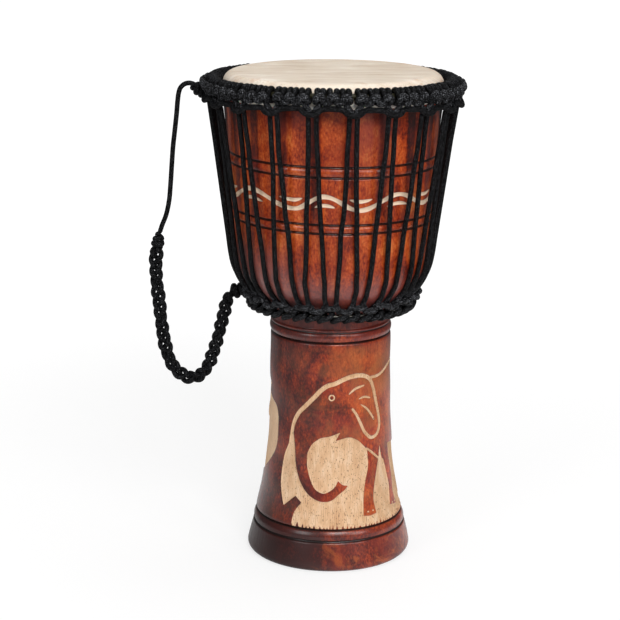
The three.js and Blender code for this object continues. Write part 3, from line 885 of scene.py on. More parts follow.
# Pale clearing behind the elephant, up to the other side of the tree
CLEARING = [
    [(304.5, 166), (304.6, 153), (301.6, 138), (294.6, 124), (276, 103), (255, 93), (232, 91), (206, 97),
     (184, 113), (168, 140), (160, 172), (163, 204), (176, 222), (198, 232), (228, 234), (255, 231),
     (272, 226), (285.6, 217)],
    [(285.6, 217), (281, 207.5), (289, 199.6)],
    [(289, 199.6), (300, 192.5), (303.6, 181.6), (304.5, 166)],
]
# Flat-topped tree left standing in the clearing, with an open fork under its crown
FORKED_TREE = [
    [(222, 84), (225, 104), (225.5, 122), (221, 138), (212, 152), (203, 163)],
    [(203, 163), (193, 164.5), (187, 172), (193, 182), (202, 185.5), (212, 192), (228, 195.5), (244, 191.5),
     (252, 187.5), (263, 184), (269, 174), (263, 165.5), (252, 163.5)],
    [(252, 163.5), (242, 152), (233.5, 138), (231.5, 122), (232.5, 104), (237, 84)],
    [(237, 84), (222, 84)],
]
FORK = [
    [(211.5, 164), (220.5, 153), (227.5, 141)],
    [(227.5, 141), (234, 152), (243.5, 164)],
    [(243.5, 164), (228, 167), (211.5, 164)],
]
# Carved strokes: half widths in millimetres at both ends and the middle, then the points
STROKES = [
    ((2.0, 2.3, 2.8), [(-38.2, 150), (-37.1, 163.4), (-34.6, 181), (-30, 192.6), (-22.1, 204.1),
                       (-14.2, 215.4), (-7.9, 224.4), (-2.8, 229.4), (4.8, 232.6), (12.5, 237.4),
                       (19.1, 240.2), (26, 241.2), (33.4, 239.7), (39.4, 235.2), (43, 228)]),
    ((2.3, 1.5, 2.3), [(43, 228), (46.2, 216), (49.4, 201), (52.2, 186.3), (52.8, 172.4), (48.6, 162),
                       (42, 159.8), (35.2, 167), (29.2, 182), (24.9, 193.5), (21.7, 199.4)]),
    ((1.6, 1.6, 2.0), [(41.6, 236), (51.1, 236.2), (59.3, 238.7), (67.6, 242.5), (84, 246), (106, 245),
                       (124, 238), (141, 224), (151, 205), (156, 184)]),
    ((0.5, 0.5, 1.5), [(17.8, 218.4), (24.7, 225), (33.5, 227.7)]),
    ((0.5, 0.5, 1.4), [(28.3, 211.4), (33.5, 213), (40.8, 210.5)]),
    ((0.5, 0.9, 1.5), [(30.2, 204.1), (36.7, 197.8), (41.6, 189.7), (45.4, 182.4)]),
    ((1.1, 1.1, 1.5), [(36.3, 147.5), (43, 140), (50.6, 131)]),
]
# The elephant's tail, left standing in the ground, in the same terms
TAIL = ((0.5, 0.4, 1.2), [(151, 205), (158, 196), (163, 180), (164, 166)])
EYE = (1.8, 215)
EYE_RADIUS = 3.2 * MM
EYE_HALF = 0.9 * MM  # half width of the ring cut round the eye
TOENAILS = [(33.6, 69.6), (38.4, 69.8), (64.6, 69.2), (69.4, 69)]
TOENAIL = np.array([1.5, 1.1]) * MM


def unrolled(points):
    """(degrees, millimetres) as metres along the unrolled stem and metres up."""
    return np.array(points, float) * [math.radians(1) * CARVE_RADIUS, MM]


def outline(runs):
    """A closed line of smooth runs with corners between them."""
    return np.concatenate([smooth_path(unrolled(run), 1.5 * MM)[:-1] for run in runs])


def near_edge(across, up, start, end, margin):
    """The grid's window (rows, columns) within a margin of an edge, and the distances to the edge there."""
    step = end - start
    low, high = np.minimum(start, end) - margin, np.maximum(start, end) + margin
    columns = slice(*np.searchsorted(across, [low[0], high[0]]))
    rows = slice(*np.searchsorted(up, [low[1], high[1]]))
    du, dz = across[None, columns] - start[0], up[rows, None] - start[1]
    share = np.clip((du * step[0] + dz * step[1]) / max(step @ step, 1e-12), 0, 1)
    return (rows, columns), np.hypot(du - share * step[0], dz - share * step[1])


def carved_inside(across, up, line):
    """Depth inside a closed line at each grid point, negative outside, held within the carving's reach.

    The distance is the least to any edge. A point is inside where a level line from it crosses the
    edges an odd number of times.
    """
    near = np.full((len(up), len(across)), CARVE_REACH)
    inside = np.zeros(near.shape, bool)
    for start, end in zip(line, np.roll(line, -1, axis=0)):
        window, gap = near_edge(across, up, start, end, CARVE_REACH)
        near[window] = np.minimum(near[window], gap)
        crossed = np.flatnonzero((start[1] <= up) != (end[1] <= up))
        if len(crossed):
            run, rise = end - start
            meets = start[0] + (up[crossed] - start[1]) * run / rise
            inside[crossed] ^= across[None, :] < meets[:, None]
    return np.where(inside, near, -near)


def carved_stroke(across, up, half_widths, points):
    """Depth inside a cut stroke: its half width, swelling from ends to middle, less the distance to it."""
    line = smooth_path(unrolled(points), 1.2 * MM)
    first, last, middle = half_widths
    place = np.linspace(0, 1, len(line))
    swell = (middle - (first + last) / 2) * np.sin(math.pi * place) ** 0.6
    width = (first + (last - first) * place + swell) * MM
    depth = np.full((len(up), len(across)), -CARVE_REACH)
    for start, end, thick in zip(line[:-1], line[1:], width):
        window, gap = near_edge(across, up, start, end, 2 * CARVE_REACH)
        depth[window] = np.maximum(depth[window], thick - gap)
    return np.maximum(depth, -CARVE_REACH)


def turned_by(runs, degrees):
    """The same runs further round the stem."""
    return [[(place + degrees, height) for place, height in run] for run in runs]


def grass_height(across):
    """Top of the stain under the carved ground: shallow scallops between uneven pointed blades of grass."""
    tooth = across / GRASS_PITCH + 0.35 * np.sin(across / (9 * MM)) + 0.3 * np.sin(across / (3.7 * MM))
    beside = np.abs(tooth % 1 - 0.5) * GRASS_PITCH
    tall = (4.6 + 1.2 * np.sin(across / (7 * MM)) + 0.8 * np.sin(across / (2.9 * MM))) * MM
    blade = grown(beside, BLADE_HALF, -BLADE_HALF)
    scallop = np.sin(math.pi * grown(beside, 0, GRASS_PITCH / 2))
    return GRASS_LINE - 0.8 * MM * scallop + tall * blade


def stem_carving(angles, up):
    """Depth inside the stem's carving at each grid point: ground less figures, then the cut strokes."""
    across = angles * CARVE_RADIUS

    def inside(runs):
        return carved_inside(across, up, outline(runs))

    grass = grass_height(across)
    ground = np.minimum(inside(GROUND), (up[:, None] - grass[None, :]) * 0.35)
    hind_legs = [turned_by(leg, turn) for leg, turn in zip((FRONT_LEG, FAR_LEG), HIND_TURNS)]
    for figure in [TRUNK, FRONT_LEG, FAR_LEG, STUB] + hind_legs:
        ground = np.minimum(ground, -inside(figure))
    clearing = np.maximum(np.minimum(inside(CLEARING), -inside(FORKED_TREE)), inside(FORK))
    depth = np.maximum(ground, clearing)
    for stroke in STROKES:
        depth = np.maximum(depth, carved_stroke(across, up, *stroke))
    depth = np.minimum(depth, -carved_stroke(across, up, *TAIL))
    eye = unrolled(EYE)
    from_eye = np.hypot(across[None, :] - eye[0], up[:, None] - eye[1])
    depth = np.maximum(depth, EYE_HALF - np.abs(from_eye - EYE_RADIUS))
    for nail in TOENAILS:
        middle = unrolled(nail)
        reach = np.hypot((across[None, :] - middle[0]) / TOENAIL[0], (up[:, None] - middle[1]) / TOENAIL[1])
        depth = np.maximum(depth, (1 - reach) * TOENAIL[1])
    return np.clip(depth, -CARVE_REACH, CARVE_REACH)


def cut_depth(inside):
    """How deep the knife goes: a smooth step from the stain to the floor of the cut, across its slope."""
    share = grown(inside, 0, CARVE_SLOPE)
    return CARVE_DEPTH * share * share * (3 - 2 * share)


def lathe(angles, radii, heights):
    """Grid of points: each row at a height, round the axis at angles counted from the front to the right."""
    heights = np.broadcast_to(heights, radii.shape)
    return np.stack([radii * np.sin(angles), -radii * np.cos(angles), heights], axis=-1)


def stem_profile(up):
    """Outer radius of foot, stem and neck at each height, with beads and grooves, and the grooves' depth."""
    radius = np.where(up > NECK_FOOT, NECK_RADIUS, stem_radius(up))
    radius += sum(bead(up, *place) for place in STEM_BEADS)
    lines = sum(share * groove(up, middle) for middle, share in STEM_GROOVES)
    return radius - lines, lines


def put_wood(name, angles, radii, heights, cut_rows, carved, lines, inner_rows):
    """A piece of the shell: a lathe grid with its point values.

    Some rows have carving and turned lines, a line being black before it is at its full depth, and the
    last rows are the inside.
    """
    bare = np.full(radii.shape, -CARVE_REACH)
    bare[cut_rows] = carved
    line = np.zeros(radii.shape)
    line[cut_rows] = grown(lines, 0, GROOVE_DEPTH / 1.25)
    inside = np.zeros(radii.shape)
    inside[-inner_rows:] = 1
    values = {"bare": bare / MM, "line": line, "inside": inside}
    return put_grid(name, lathe(angles, radii, heights), WOOD, True, True, values=values)


def put_turned_piece(name, angles, up, carved, proud):
    """A stretch of the stem as a closed ring: rows go up the outside and down the bore.

    The hand-worked surface sways by a quarter of a millimetre, and the carving is cut into it.
    """
    radius, lines = stem_profile(up)
    sway = 0.25 * MM * np.sin(3 * angles[None, :] + 9 * up[:, None] / FLARE_HEIGHT)
    outer = radius[:, None] + sway + proud - cut_depth(carved)
    down = np.linspace(up[-1], up[0], max(3, int((up[-1] - up[0]) / (14 * MM))))
    inner = np.tile(flared(down, STEM_BORE, FOOT_BORE)[:, None], (1, len(angles)))
    radii, heights = np.concatenate([outer, inner]), np.concatenate([up, down])[:, None]
    return put_wood(name, angles, radii, heights, slice(0, len(up)), carved, lines[:, None], len(down))


def make_stem():
    """Foot, stem and neck, parted at the bottoms of grooves; the stem's columns are closer on the front."""
    low_line, high_line = FOOT_LINES
    even = full_turn(300, -math.pi)
    under_line = low_line - 4 * MM
    foot_up = in_order(np.linspace(0, FOOT_ROUND, 8), np.linspace(FOOT_ROUND, under_line, 9),
                       np.linspace(under_line, high_line, 24))
    over_bead = STEM_TOP + 5 * MM
    neck_up = in_order(np.linspace(BEAD_FOOT, over_bead, 26), np.linspace(over_bead, BOWL_BOTTOM, 5))
    over_line, under_bead = high_line + 3 * MM, 278 * MM
    stem_up = in_order(np.linspace(high_line, over_line, 5), np.arange(over_line, under_bead, 1.27 * MM),
                       np.linspace(under_bead, BEAD_FOOT, 7))
    front_and_back = np.radians(np.concatenate([
        np.linspace(-51, 100, 252, endpoint=False), np.linspace(100, 260, 150, endpoint=False),
        np.linspace(260, 309, 80, endpoint=False)]))
    pieces = []
    for name, angles, up in (("shell_foot", even, foot_up), ("shell_neck", even, neck_up)):
        plain = np.full((len(up), len(angles)), -CARVE_REACH)
        pieces.append(put_turned_piece(name, angles, up, plain, 0))
    carved = stem_carving(front_and_back, stem_up)
    ends = grown(np.minimum(stem_up - stem_up[0], stem_up[-1] - stem_up), 0, 4 * MM)
    pieces.append(put_turned_piece("shell_stem", front_and_back, stem_up, carved, STEM_PROUD * ends[:, None]))
    return pieces


for turned in make_stem():
    dress(turned, "drum", "stained_wood", "shell")


# Shell: bowl

# The wave's turning points round the bowl, in degrees from the front: crest, trough, crest and so on.
# Those on the front are uneven, as cut by hand, and the rest go evenly round the back.
WAVE_TURNS = np.radians(np.concatenate([[-49, -21.1, -4.1, 15], np.linspace(38, 311, 13)]))
WAVE_HEIGHT = 462.8 * MM
WAVE_SWING = 8 * MM
WAVE_HALF = 2.6 * MM
WAVE_RADIUS = 123 * MM  # of the bowl at the wave
ACCENT_OFFSET = 10.4 * MM
ACCENT_HALF = 2.4 * MM
BAND_TILT = 1.6 * MM  # the bands on the bowl sink this much to the right


def bowl_carving(angles, up):
    """Depth inside the wave and its accents: half width less the distance, the height gap leaned over.

    The phase grows by half a turn from one turning point to the next. The accents follow the wave a
    little below each crest and above each trough, and taper to points.
    """
    turned = (angles - WAVE_TURNS[0]) % (2 * math.pi) + WAVE_TURNS[0]
    phase = math.pi * np.interp(turned, WAVE_TURNS, np.arange(len(WAVE_TURNS)))
    line = WAVE_HEIGHT + WAVE_SWING * np.cos(phase)
    slope = np.gradient(line, angles) / WAVE_RADIUS
    lean = 1 / np.sqrt(1 + slope ** 2)
    gap = up - line
    depth = WAVE_HALF * (1 + 0.12 * np.sin(3.3 * phase)) - np.abs(gap) * lean
    extreme = np.cos(phase)
    taper = grown(np.abs(extreme), 0.55, 0.45) ** 0.6
    accent = line - np.sign(extreme) * ACCENT_OFFSET * (0.8 + 0.2 * np.abs(extreme))
    accents = ACCENT_HALF * taper - np.abs(up - accent) * lean - 0.2 * MM
    return np.clip(np.maximum(depth, accents), -CARVE_REACH, CARVE_REACH)


def make_bowl():
    """Bowl: rows go up the outer curve and side, over the bearing edge and down the inside."""
    angles = full_turn(650, -math.pi)
    side_turn = tangent_turn(BOWL_CENTRE, BOWL_CURVE, (RIM_RADIUS, RIM_CENTRE[1]))
    neck_turn = math.degrees(math.asin((BOWL_BOTTOM - BOWL_CENTRE[1]) / BOWL_CURVE))
    curve = arc(BOWL_CENTRE, BOWL_CURVE, neck_turn, side_turn, 24)
    near_lines = [np.arange(low - 4.5 * MM, high + 4.5 * MM, 0.75 * MM) for low, high in BANDS]
    near_wave = np.arange(446, 481, 1.1) * MM
    up = in_order(np.linspace(curve[-1, 1] + 4 * MM, RIM_CENTRE[1], 14), near_wave, *near_lines)
    side_radius = np.interp(up, [curve[-1, 1], RIM_CENTRE[1]], [curve[-1, 0], RIM_RADIUS])
    edge = arc(RIM_CENTRE, RIM_ROUND, 0, 90, 9)[1:]
    inner_curve = BOWL_CURVE - BOWL_WALL
    inner_top = np.array([RIM_RADIUS - RIM_WALL, RIM_HEIGHT - RIM_INNER_DROP])
    inner_turn = tangent_turn(BOWL_CENTRE, inner_curve, inner_top)
    inner = np.concatenate([[inner_top], arc(BOWL_CENTRE, inner_curve, inner_turn, -92, 14),
                            [(STEM_BORE, BOWL_BOTTOM)]])
    profile = np.concatenate([curve, np.stack([side_radius, up], axis=-1), edge, inner])
    side = slice(len(curve), len(curve) + len(up))

    levelled = up[:, None] + BAND_TILT * np.sin(angles)
    lines = sum(groove(levelled, line) for line in BAND_LINES)
    beads = sum(bead(levelled, low + 1.2 * MM, high - 1.2 * MM, 1.3 * MM) for low, high in BANDS)
    carved = bowl_carving(angles, levelled)
    wobble = 0.3 * MM * np.sin(2 * angles + 1) + 0.15 * MM * np.sin(7 * angles)
    wobble_share = np.zeros((len(profile), 1))
    wobble_share[:len(curve), 0] = np.linspace(0, 1, len(curve))
    wobble_share[side] = 1
    radii = profile[:, :1] + wobble_share * wobble
    radii[side] += beads - lines - cut_depth(carved)
    return put_wood("shell_bowl", angles, radii, profile[:, 1:], side, carved, lines, len(inner))


dress(make_bowl(), "drum", "stained_wood", "shell")


# Head

LAP_TOP = 581.1 * MM
LAP_FRAY = 2.6 * MM  # the lap's edge is uneven over this height


def make_head():
    """Goatskin: rows go out under the top, down inside, round the hoop, up to the lap and back over the top.

    The skirt and lap pucker a little: their radius and the lap's edge sway by sines of the angle.
    """
    angles = full_turn(320, -math.pi)
    under = RIM_ROUND + CLEARANCE
    over = under + SKIN
    wrap = RING_WIRE / 2 + CLEARANCE
    lap_outer = HOOP[0] + wrap + SKIN
    lap_edge = np.array([[lap_outer - SKIN, LAP_TOP - 0.5 * MM], [lap_outer - SKIN / 2, LAP_TOP],
                         [lap_outer, LAP_TOP - 0.5 * MM]])
    below = np.stack([np.linspace(0.5 * MM, RIM_CENTRE[0], 12, endpoint=False),
                      np.full(12, RIM_CENTRE[1] + under)], axis=-1)
    above = np.stack([np.linspace(RIM_CENTRE[0], 0.5 * MM, 40), np.full(40, RIM_CENTRE[1] + over)], axis=-1)
    profile = np.concatenate([
        below, arc(RIM_CENTRE, under, 90, 0, 10), arc(HOOP, wrap, 180, 360, 12), lap_edge,
        arc(HOOP, wrap + SKIN, 360, 180, 14), arc(RIM_CENTRE, over, 0, 90, 13), above[1:]])
    radius, height = profile[:, :1], profile[:, 1:]
    skirt = grown(radius, RIM_RADIUS - 2 * MM, 4 * MM)
    pucker = 0.25 * np.sin(46 * angles) + 0.3 * np.sin(17 * angles + 1) + 0.2 * np.sin(71 * angles + 2)
    lap = grown(height, LAP_TOP - LAP_FRAY, LAP_FRAY) * (radius > HOOP[0] + 2 * MM)
    ragged = 0.7 * np.sin(13 * angles) + 0.5 * np.sin(29 * angles + 2) - 0.6
    points = lathe(angles, radius + skirt * pucker * MM, height + lap * ragged * MM)
    edge = np.tile(grown(radius / RIM_RADIUS, 0.7, 0.25), (1, len(angles)))
    on_lap = np.tile(radius > HOOP[0], (1, len(angles)))
    values = {"edge": edge, "lap": on_lap * 1.0}
    return put_grid("head_skin", points, GOATSKIN, False, True, caps=True, values=values)


dress(make_head(), "drum", "goatskin", "drumhead")


# How the harness hangs, unlike a level drawing: the collar's lower rows sag by millimetres at degrees from
# the front, the whole collar sinks towards the back, and the bottom ring stands higher at the front

SAG_TURNS = np.radians([-180, -120, -90, -60, -30, 0, 30, 57, 90, 130])
SAG_DROPS = np.array([1.5, 1, 1, 3.6, 1.6, 0, 3, 5, 5.6, 3.5]) * MM
COLLAR_SINK = 1.5 * MM
RING_RAISE = 2.5 * MM
# Height where each of these begins, and the way up or down over which it grows to the full
COLLAR_FROM = (520 * MM, 50 * MM)
SAG_FROM = (599 * MM, -18 * MM)
RAISE_FROM = (360 * MM, -30 * MM)


def settled(path):
    """A path of the harness let down at the collar and tilted at the bottom ring."""
    x, y, z = path[..., 0], path[..., 1], path[..., 2]
    radius = np.hypot(x, y)
    drop = np.interp(np.arctan2(x, -y), SAG_TURNS, SAG_DROPS, period=2 * math.pi) * grown(z, *SAG_FROM)
    drop = (drop + COLLAR_SINK * (1 + y / radius)) * grown(z, *COLLAR_FROM)
    rise = RING_RAISE * (-y / radius) * grown(z, *RAISE_FROM)
    return np.stack([x, y, z - drop + rise], axis=-1)


# Rings

def put_ring(name, centre, material, hung):
    """A ring of round wire round the drum's axis: a circle carried round a circle, let down if it is hung."""
    angle, turn = full_turn(180)[:, None], full_turn(16)[None, :]
    radius = centre[0] + RING_WIRE / 2 * np.cos(turn)
    lift = around(0, 0, RING_WIRE / 2 * np.sin(turn))
    line = around(angle, radius, centre[1] + 0 * turn)
    points = settled(line) if hung else line
    return put_grid(name, points + lift, material, True, True)


for name, centre, rod, hung, node in (
        ("hoop_in_skin", HOOP, BRIGHT_ROD, False, "flesh_hoop"),
        ("crown_rod", CROWN, OLIVE_ROD, True, "crown_ring"),
        ("bottom_rod", BOTTOM, BRIGHT_ROD, True, "bottom_ring")):
    dress(put_ring(name, centre, rod, hung), "drum", "ring_steel", node)


# Rope harness

HITCHES = 3  # hitches side by side on one collar knot
WRAP_PITCH = 7.0 * MM  # between one turn of rope on the crown ring and the next
WRAP_HALF = 3.45 * MM  # half width of a turn of rope on the ring
BAR_HALF = 4.7 * MM  # half width of the bar that crosses in front of a hitch
LINK_HALF = 3.8 * MM  # half width of a link between two hitches
TURN_BULGE = 0.2 * MM  # a turn is this much thicker over the top of the ring, and thinner before and behind
BULGE_TURN = 75  # degrees above level, where a turn is thickest
PRESSED = 0.87  # the rope's thickness in a hitch, as a share of its width
LINK_TURN = -37  # degrees above level, where the links between hitches lie on the front of the crown ring
LACE_TOP_TURN = math.radians(7.27)
BAR_REACH = 9.2 * MM  # bars and links lie further out from the ring's middle than this
# A knot's ends run down into the laces: their turns from its middle, then their (radius, height)
TAIL_TURNS = LACE_TOP_TURN * np.array([0.81, 0.96, 1.06, 1.03])
COLLAR_TAIL = np.array([[150.1, 580.0], [149.5, 576.0], [148.8, 571.0], [148.3, 567]]) * MM
# How far hand-tied rows stray from the drawing, in the terms of the rows, and a lace's leg in radians
COLLAR_STRAY = (0.3 * MM, 2.0, 0.2 * MM)
LACE_STRAY = (0.25, 1.5, 0.12)
LEG_STRAY = 0.003
TAIL_SWELL = 0.4 * MM  # the ends are this much thicker where they meet the laces
TAIL_MEETS = 573 * MM

# One hitch: across from its middle in wrap pitches, turn round the ring in degrees, reach in millimetres.
# The rope comes up under the bar, goes over the ring, down behind it and out below it, up into the bar,
# and back the same way.
HITCH_HALF = [
    (-0.4, -40, 8.6), (-0.42, -8, 6.4), (-0.46, 28, 6.1), (-0.5, 66, 6.1), (-0.5, 105, 6.1), (-0.5, 145, 6.1),
    (-0.5, 185, 6.1), (-0.52, 225, 6.1), (-0.56, 262, 6.2), (-0.62, 297, 7.0), (-0.66, 325, 9.3),
    (-0.42, 351, 11.0), (0, 361, 11.4),
]
# The link from one hitch to the next, in the same terms
LINK = [(-0.38, LINK_TURN, 10.9), (0, LINK_TURN, 11.5), (0.38, LINK_TURN, 10.9)]


def hitch_rows(middle):
    """Rows of (across, turn, reach) for one hitch whose middle lies at the given distance along the ring."""
    half = np.array(HITCH_HALF)
    rows = np.concatenate([half, half[-2::-1] * [-1, 1, 1]])
    return rows * [WRAP_PITCH, 1, MM] + [middle, 0, 0]


def collar_path(angle, rng):
    """One collar knot: three hitches on the crown ring, linked below, both ends running down as laces."""
    rows = []
    for number in range(HITCHES):
        middle = (number - (HITCHES - 1) / 2) * 2 * WRAP_PITCH
        if number:
            rows.append(np.array(LINK) * [WRAP_PITCH, 1, MM] + [middle - WRAP_PITCH, 0, 0])
        rows.append(hitch_rows(middle))
    rows = np.concatenate(rows)
    rows = rows + rng.normal(0, 1, rows.shape) * COLLAR_STRAY
    radius, height = in_section(CROWN, rows[:, 1], rows[:, 2])
    path = around(angle + rows[:, 0] / CROWN[0], radius, height)
    left, right = (around(angle + side * TAIL_TURNS, *COLLAR_TAIL.T) for side in (-1, 1))
    return smooth_path(np.concatenate([left[::-1], path, right]), 1.05 * MM)


def put_collar_knot(name, angle, rng):
    """A collar knot as a rope pressed against the ring, thicker in the bars than in the turns and links.

    A turn swells by the cosine of three times its angle from where it is thickest. The ends are thicker too.
    """
    path = collar_path(angle, rng)
    out = from_ring(path, CROWN)
    outer = grown(np.linalg.norm(out, axis=1), BAR_REACH, 2 * MM)
    in_bar = grown(out[:, 2], -4 * MM, 3 * MM)
    radius = WRAP_HALF + (LINK_HALF - WRAP_HALF + (BAR_HALF - LINK_HALF) * in_bar) * outer
    radius = radius + TAIL_SWELL * grown(np.abs(path[:, 2] - TAIL_MEETS), 5 * MM, -5 * MM)
    over = np.degrees(np.arctan2(out[:, 2], np.linalg.norm(path[:, :2], axis=1) - CROWN[0]))
    radius = radius + TURN_BULGE * np.cos(np.radians(over - BULGE_TURN) * 3) * (1 - outer)
    return put_rope(name, settled(path), 10, out, radius, flat=PRESSED, hitched_on=CROWN, level=path)


# One lace at the bottom ring: across in millimetres at the hitch radius, turn round the ring in degrees,
# reach in millimetres. The left leg goes behind the ring and makes two slanted turns round it. It crosses
# below the gap to the next lace as the lower bar and in front of its own legs as the upper bar, then comes
# back along the top of the ring to the right leg.
HITCH_RADIUS = 100 * MM
LACE_HITCH = [
    (-6.4, 118, 7.0), (-8.4, 160, 6.3), (-11.2, 200, 5.9), (-13.4, 240, 5.5), (-14.4, 280, 5.4),
    (-13.8, 308, 5.9), (-11.2, 332, 6.8), (-7.2, 347, 7.2), (-3.2, 357, 7.2), (0.2, 16, 6.8),
    (1.4, 46, 6.4), (1.5, 82, 6.3), (1.5, 125, 6.3), (1.6, 165, 6.1), (1.8, 205, 5.9),
    (2.0, 245, 5.5), (2.2, 282, 5.4), (2.8, 308, 5.9), (5.4, 332, 6.8), (9.4, 347, 7.2),
    (13.4, 357, 7.2), (16.8, 16, 7.0), (19.0, 40, 7.4), (21.2, 56, 8.4), (22.4, 54, 10.4),
    (21.4, 41, 12.9), (18.4, 36, 14.3), (15.7, 35, 14.6), (13.0, 36, 14.3), (10.0, 41, 12.9),
    (8.6, 54, 10.6), (8.6, 64, 11.2), (8.6, 58, 13.6), (7.4, 49, 16.8), (4.8, 45, 18.5),
    (1.6, 44, 18.9), (-1.6, 44, 18.9), (-4.8, 45, 18.5), (-7.4, 50, 16.2), (-8.2, 62, 12.4),
    (-7.0, 74, 9.8), (-4.0, 76, 8.8), (-0.4, 74, 8.6), (3.0, 74, 9.2), (5.4, 78, 11.0),
]
LEG_TURN = 0.058  # radians from a lace's middle to its legs where they meet the ring
REST_REACH = BOWL_CURVE + CLEARANCE + ROPE_RADIUS
LEG_LEAN = -48  # degrees above level round the bowl curve's centre, where the legs leave it for the ring
HITCH_TOP = 342 * MM  # a lace is fuller below this height
HITCH_SWELL = 0.5 * MM
RING_PRESS = 1.4 * MM  # a lace is thinner by this under the ring


def leg_rows():
    """One leg as rows of (angle, radius, height): up the bowl's curve, then straight to the collar.

    The leg spreads from its place at the ring to its place under the collar, less and less as it climbs.
    """
    leaves = tangent_turn(BOWL_CENTRE, REST_REACH, LACE_TOP)
    curve = arc(BOWL_CENTRE, REST_REACH, LEG_LEAN, leaves, 6)
    straight = curve[-1] + (LACE_TOP - curve[-1]) * np.linspace(0, 1, 9)[1:, None]
    places = np.concatenate([curve, straight])
    climb = grown(places[:, 1], BOTTOM[1], LACE_TOP[1] - BOTTOM[1])
    angle = LEG_TURN + (LACE_TOP_TURN - LEG_TURN) * np.sin(climb * math.pi / 2) ** 1.8
    return np.concatenate([angle[:, None], places], axis=1)


def lace_path(angle, rng):
    """One lace: down from the collar's left end, hitched on the bottom ring, and up to its right end."""
    leg = leg_rows()
    hitch = np.array(LACE_HITCH)
    hitch = hitch + rng.normal(0, 1, hitch.shape) * LACE_STRAY
    radius, height = in_section(BOTTOM, hitch[:, 1], hitch[:, 2] * MM)
    hitch = np.stack([hitch[:, 0] * MM / HITCH_RADIUS, radius, height], axis=-1)
    sway = rng.normal(0, 1, (2, len(leg))) * LEG_STRAY
    sway[:, [0, 1, -2, -1]] = 0
    left = leg[::-1] * [-1, 1, 1]
    left[:, 0] += sway[0]
    leg[:, 0] += sway[1]
    rows = np.concatenate([left, hitch, leg])
    return settled(smooth_path(around(angle + rows[:, 0], rows[:, 1], rows[:, 2]), 1.6 * MM))


def lace_thickness(path):
    """Half width of a lace: the plain rope, fuller in the hitch and pressed thinner under the bottom ring."""
    below = grown(path[:, 2], BOTTOM[1] - 2 * MM, -5 * MM)
    hitched = grown(path[:, 2], HITCH_TOP, -6 * MM)
    return ROPE_RADIUS + HITCH_SWELL * hitched - RING_PRESS * below


SWAG_HIGH = np.array([151.2, 575.7]) * MM
SWAG_LOW = np.array([154.8, 569.6]) * MM
SWAG_RADIUS = 3.4 * MM
SWAG_SQUARE = 2.3  # how square the swag's waves are
SWAG_SHIFT = 0.42  # how much longer they are high than low


def swag_path():
    """Swag rope: high under each collar knot, low in front of each pair of laces, in squared-off waves."""
    angle = full_turn(LACES * 26)
    wave = np.cos(angle * LACES + 0.16 * np.sin(3 * angle + 1))
    squared = np.tanh(SWAG_SQUARE * (wave + SWAG_SHIFT)) / math.tanh(SWAG_SQUARE)
    dip = np.clip(0.5 - 0.5 * squared, 0, 1)
    sway = 0.5 * MM * np.sin(7 * angle + 2) + 0.35 * MM * np.sin(23 * angle)
    radius = SWAG_HIGH[0] + (SWAG_LOW[0] - SWAG_HIGH[0]) * dip ** 0.7
    return settled(around(angle, radius, SWAG_HIGH[1] + (SWAG_LOW[1] - SWAG_HIGH[1]) * dip + sway))


rng = np.random.default_rng(20)
for number in range(LACES):
    angle = PITCH * number
    label = f"{number + 1:02d}"
    collar = put_collar_knot(f"collar_hitches_{label}", angle, rng)
    dress(collar, "drum", "black_rope", f"collar_knot_{label}")
    route = lace_path(angle, rng)
    normals = carried_normals(route, (-math.cos(angle), -math.sin(angle), 0))
    lacing = put_rope(f"lacing_{label}", route, 10, normals, lace_thickness(route), hitched_on=BOTTOM)
    dress(lacing, "drum", "black_rope", f"lace_{label}")

swag = put_rope("swag_rope", swag_path(), 12, UPWARDS, SWAG_RADIUS, closed=True)
dress(swag, "drum", "black_rope", "collar_swag")


# Floor, light and world

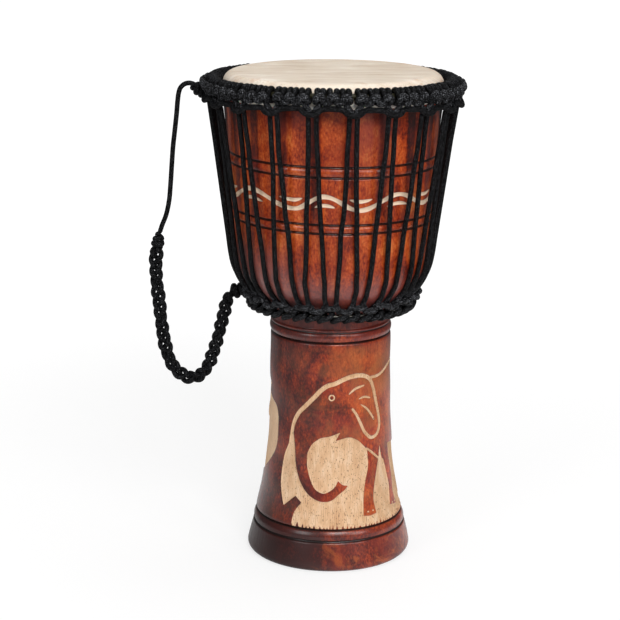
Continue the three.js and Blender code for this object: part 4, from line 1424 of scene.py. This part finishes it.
def make_floor():
    """A wide pale floor: camera rays see it nearly white, with the drum's shadow near the foot.

    Part of the white that they see is the floor's own, and that part grows with the distance from the
    drum, where the lamps no longer reach. To other rays it is white near the drum and greyer further out.
    """
    size = 40.0
    across, up = np.meshgrid([-size, size], [-size, size])
    points = np.stack([across, up, np.full((2, 2), -0.3 * MM)], axis=-1)
    material, tree, shader = new_material("pale_floor")
    seen = add_node(tree, "ShaderNodeLightPath").outputs["Is Camera Ray"]
    measure = add_node(tree, "ShaderNodeVectorMath", {0: object_coordinates(tree)}, operation="LENGTH")
    away = measure.outputs["Value"]
    own = summed(tree, 0.72, [(between(tree, away, 0.25, 2.5), 0.25)])
    lit = mixed(tree, between(tree, away, 0.4, 1.1), srgb(238, 238, 238), srgb(128, 128, 128))
    colour = mixed(tree, seen, lit, srgb(150, 150, 150))
    plug(tree, shader, {"Base Color": colour, "Roughness": 0.9, "Specular IOR Level": 0.0,
                        "Emission Color": (1, 1, 1, 1), "Emission Strength": product(tree, seen, own)})
    floor = put_grid("pale_floor", points, material, False, False)


make_floor()

DRUM_MIDDLE = (0, 0, 0.35)
# Name, place, size in metres and power in watts
LAMPS = [
    ("front_softbox", (0.65, -2.35, 2.1), 1.2, 49),
    ("right_softbox", (1.9, -1.9, 1.15), 0.9, 13),
    ("left_softbox", (-1.6, -1.9, 1.2), 0.9, 14),
    ("top_softbox", (0.2, 0.5, 2.4), 1.6, 17),
]


def add_lamp(name, place, size, power):
    """A square soft lamp at a place, facing the middle of the drum."""
    data = bpy.data.lights.new(name, "AREA")
    data.size = size
    data.energy = power
    lamp = bpy.data.objects.new(name, data)
    away = np.array(place) - DRUM_MIDDLE
    flat = math.hypot(away[0], away[1])
    lamp.location = place
    lamp.rotation_euler = (math.atan2(flat, away[2]), 0, math.atan2(away[0], -away[1]))
    bpy.context.scene.collection.objects.link(lamp)


for lamp in LAMPS:
    add_lamp(*lamp)

# A dim white world lights everything; it is dimmer still in reflections, and plain white seen directly
world = bpy.data.worlds.new("studio")
world.use_nodes = True
sky = world.node_tree
ray = add_node(sky, "ShaderNodeLightPath").outputs
seen = maths(sky, "MAXIMUM", ray["Is Camera Ray"], ray["Is Transmission Ray"])
strength = summed(sky, 0.31, [(seen, 0.69), (ray["Is Glossy Ray"], -0.19)])
plug(sky, sky.nodes["Background"].inputs, {"Color": (1, 1, 1, 1), "Strength": strength})
bpy.context.scene.world = world
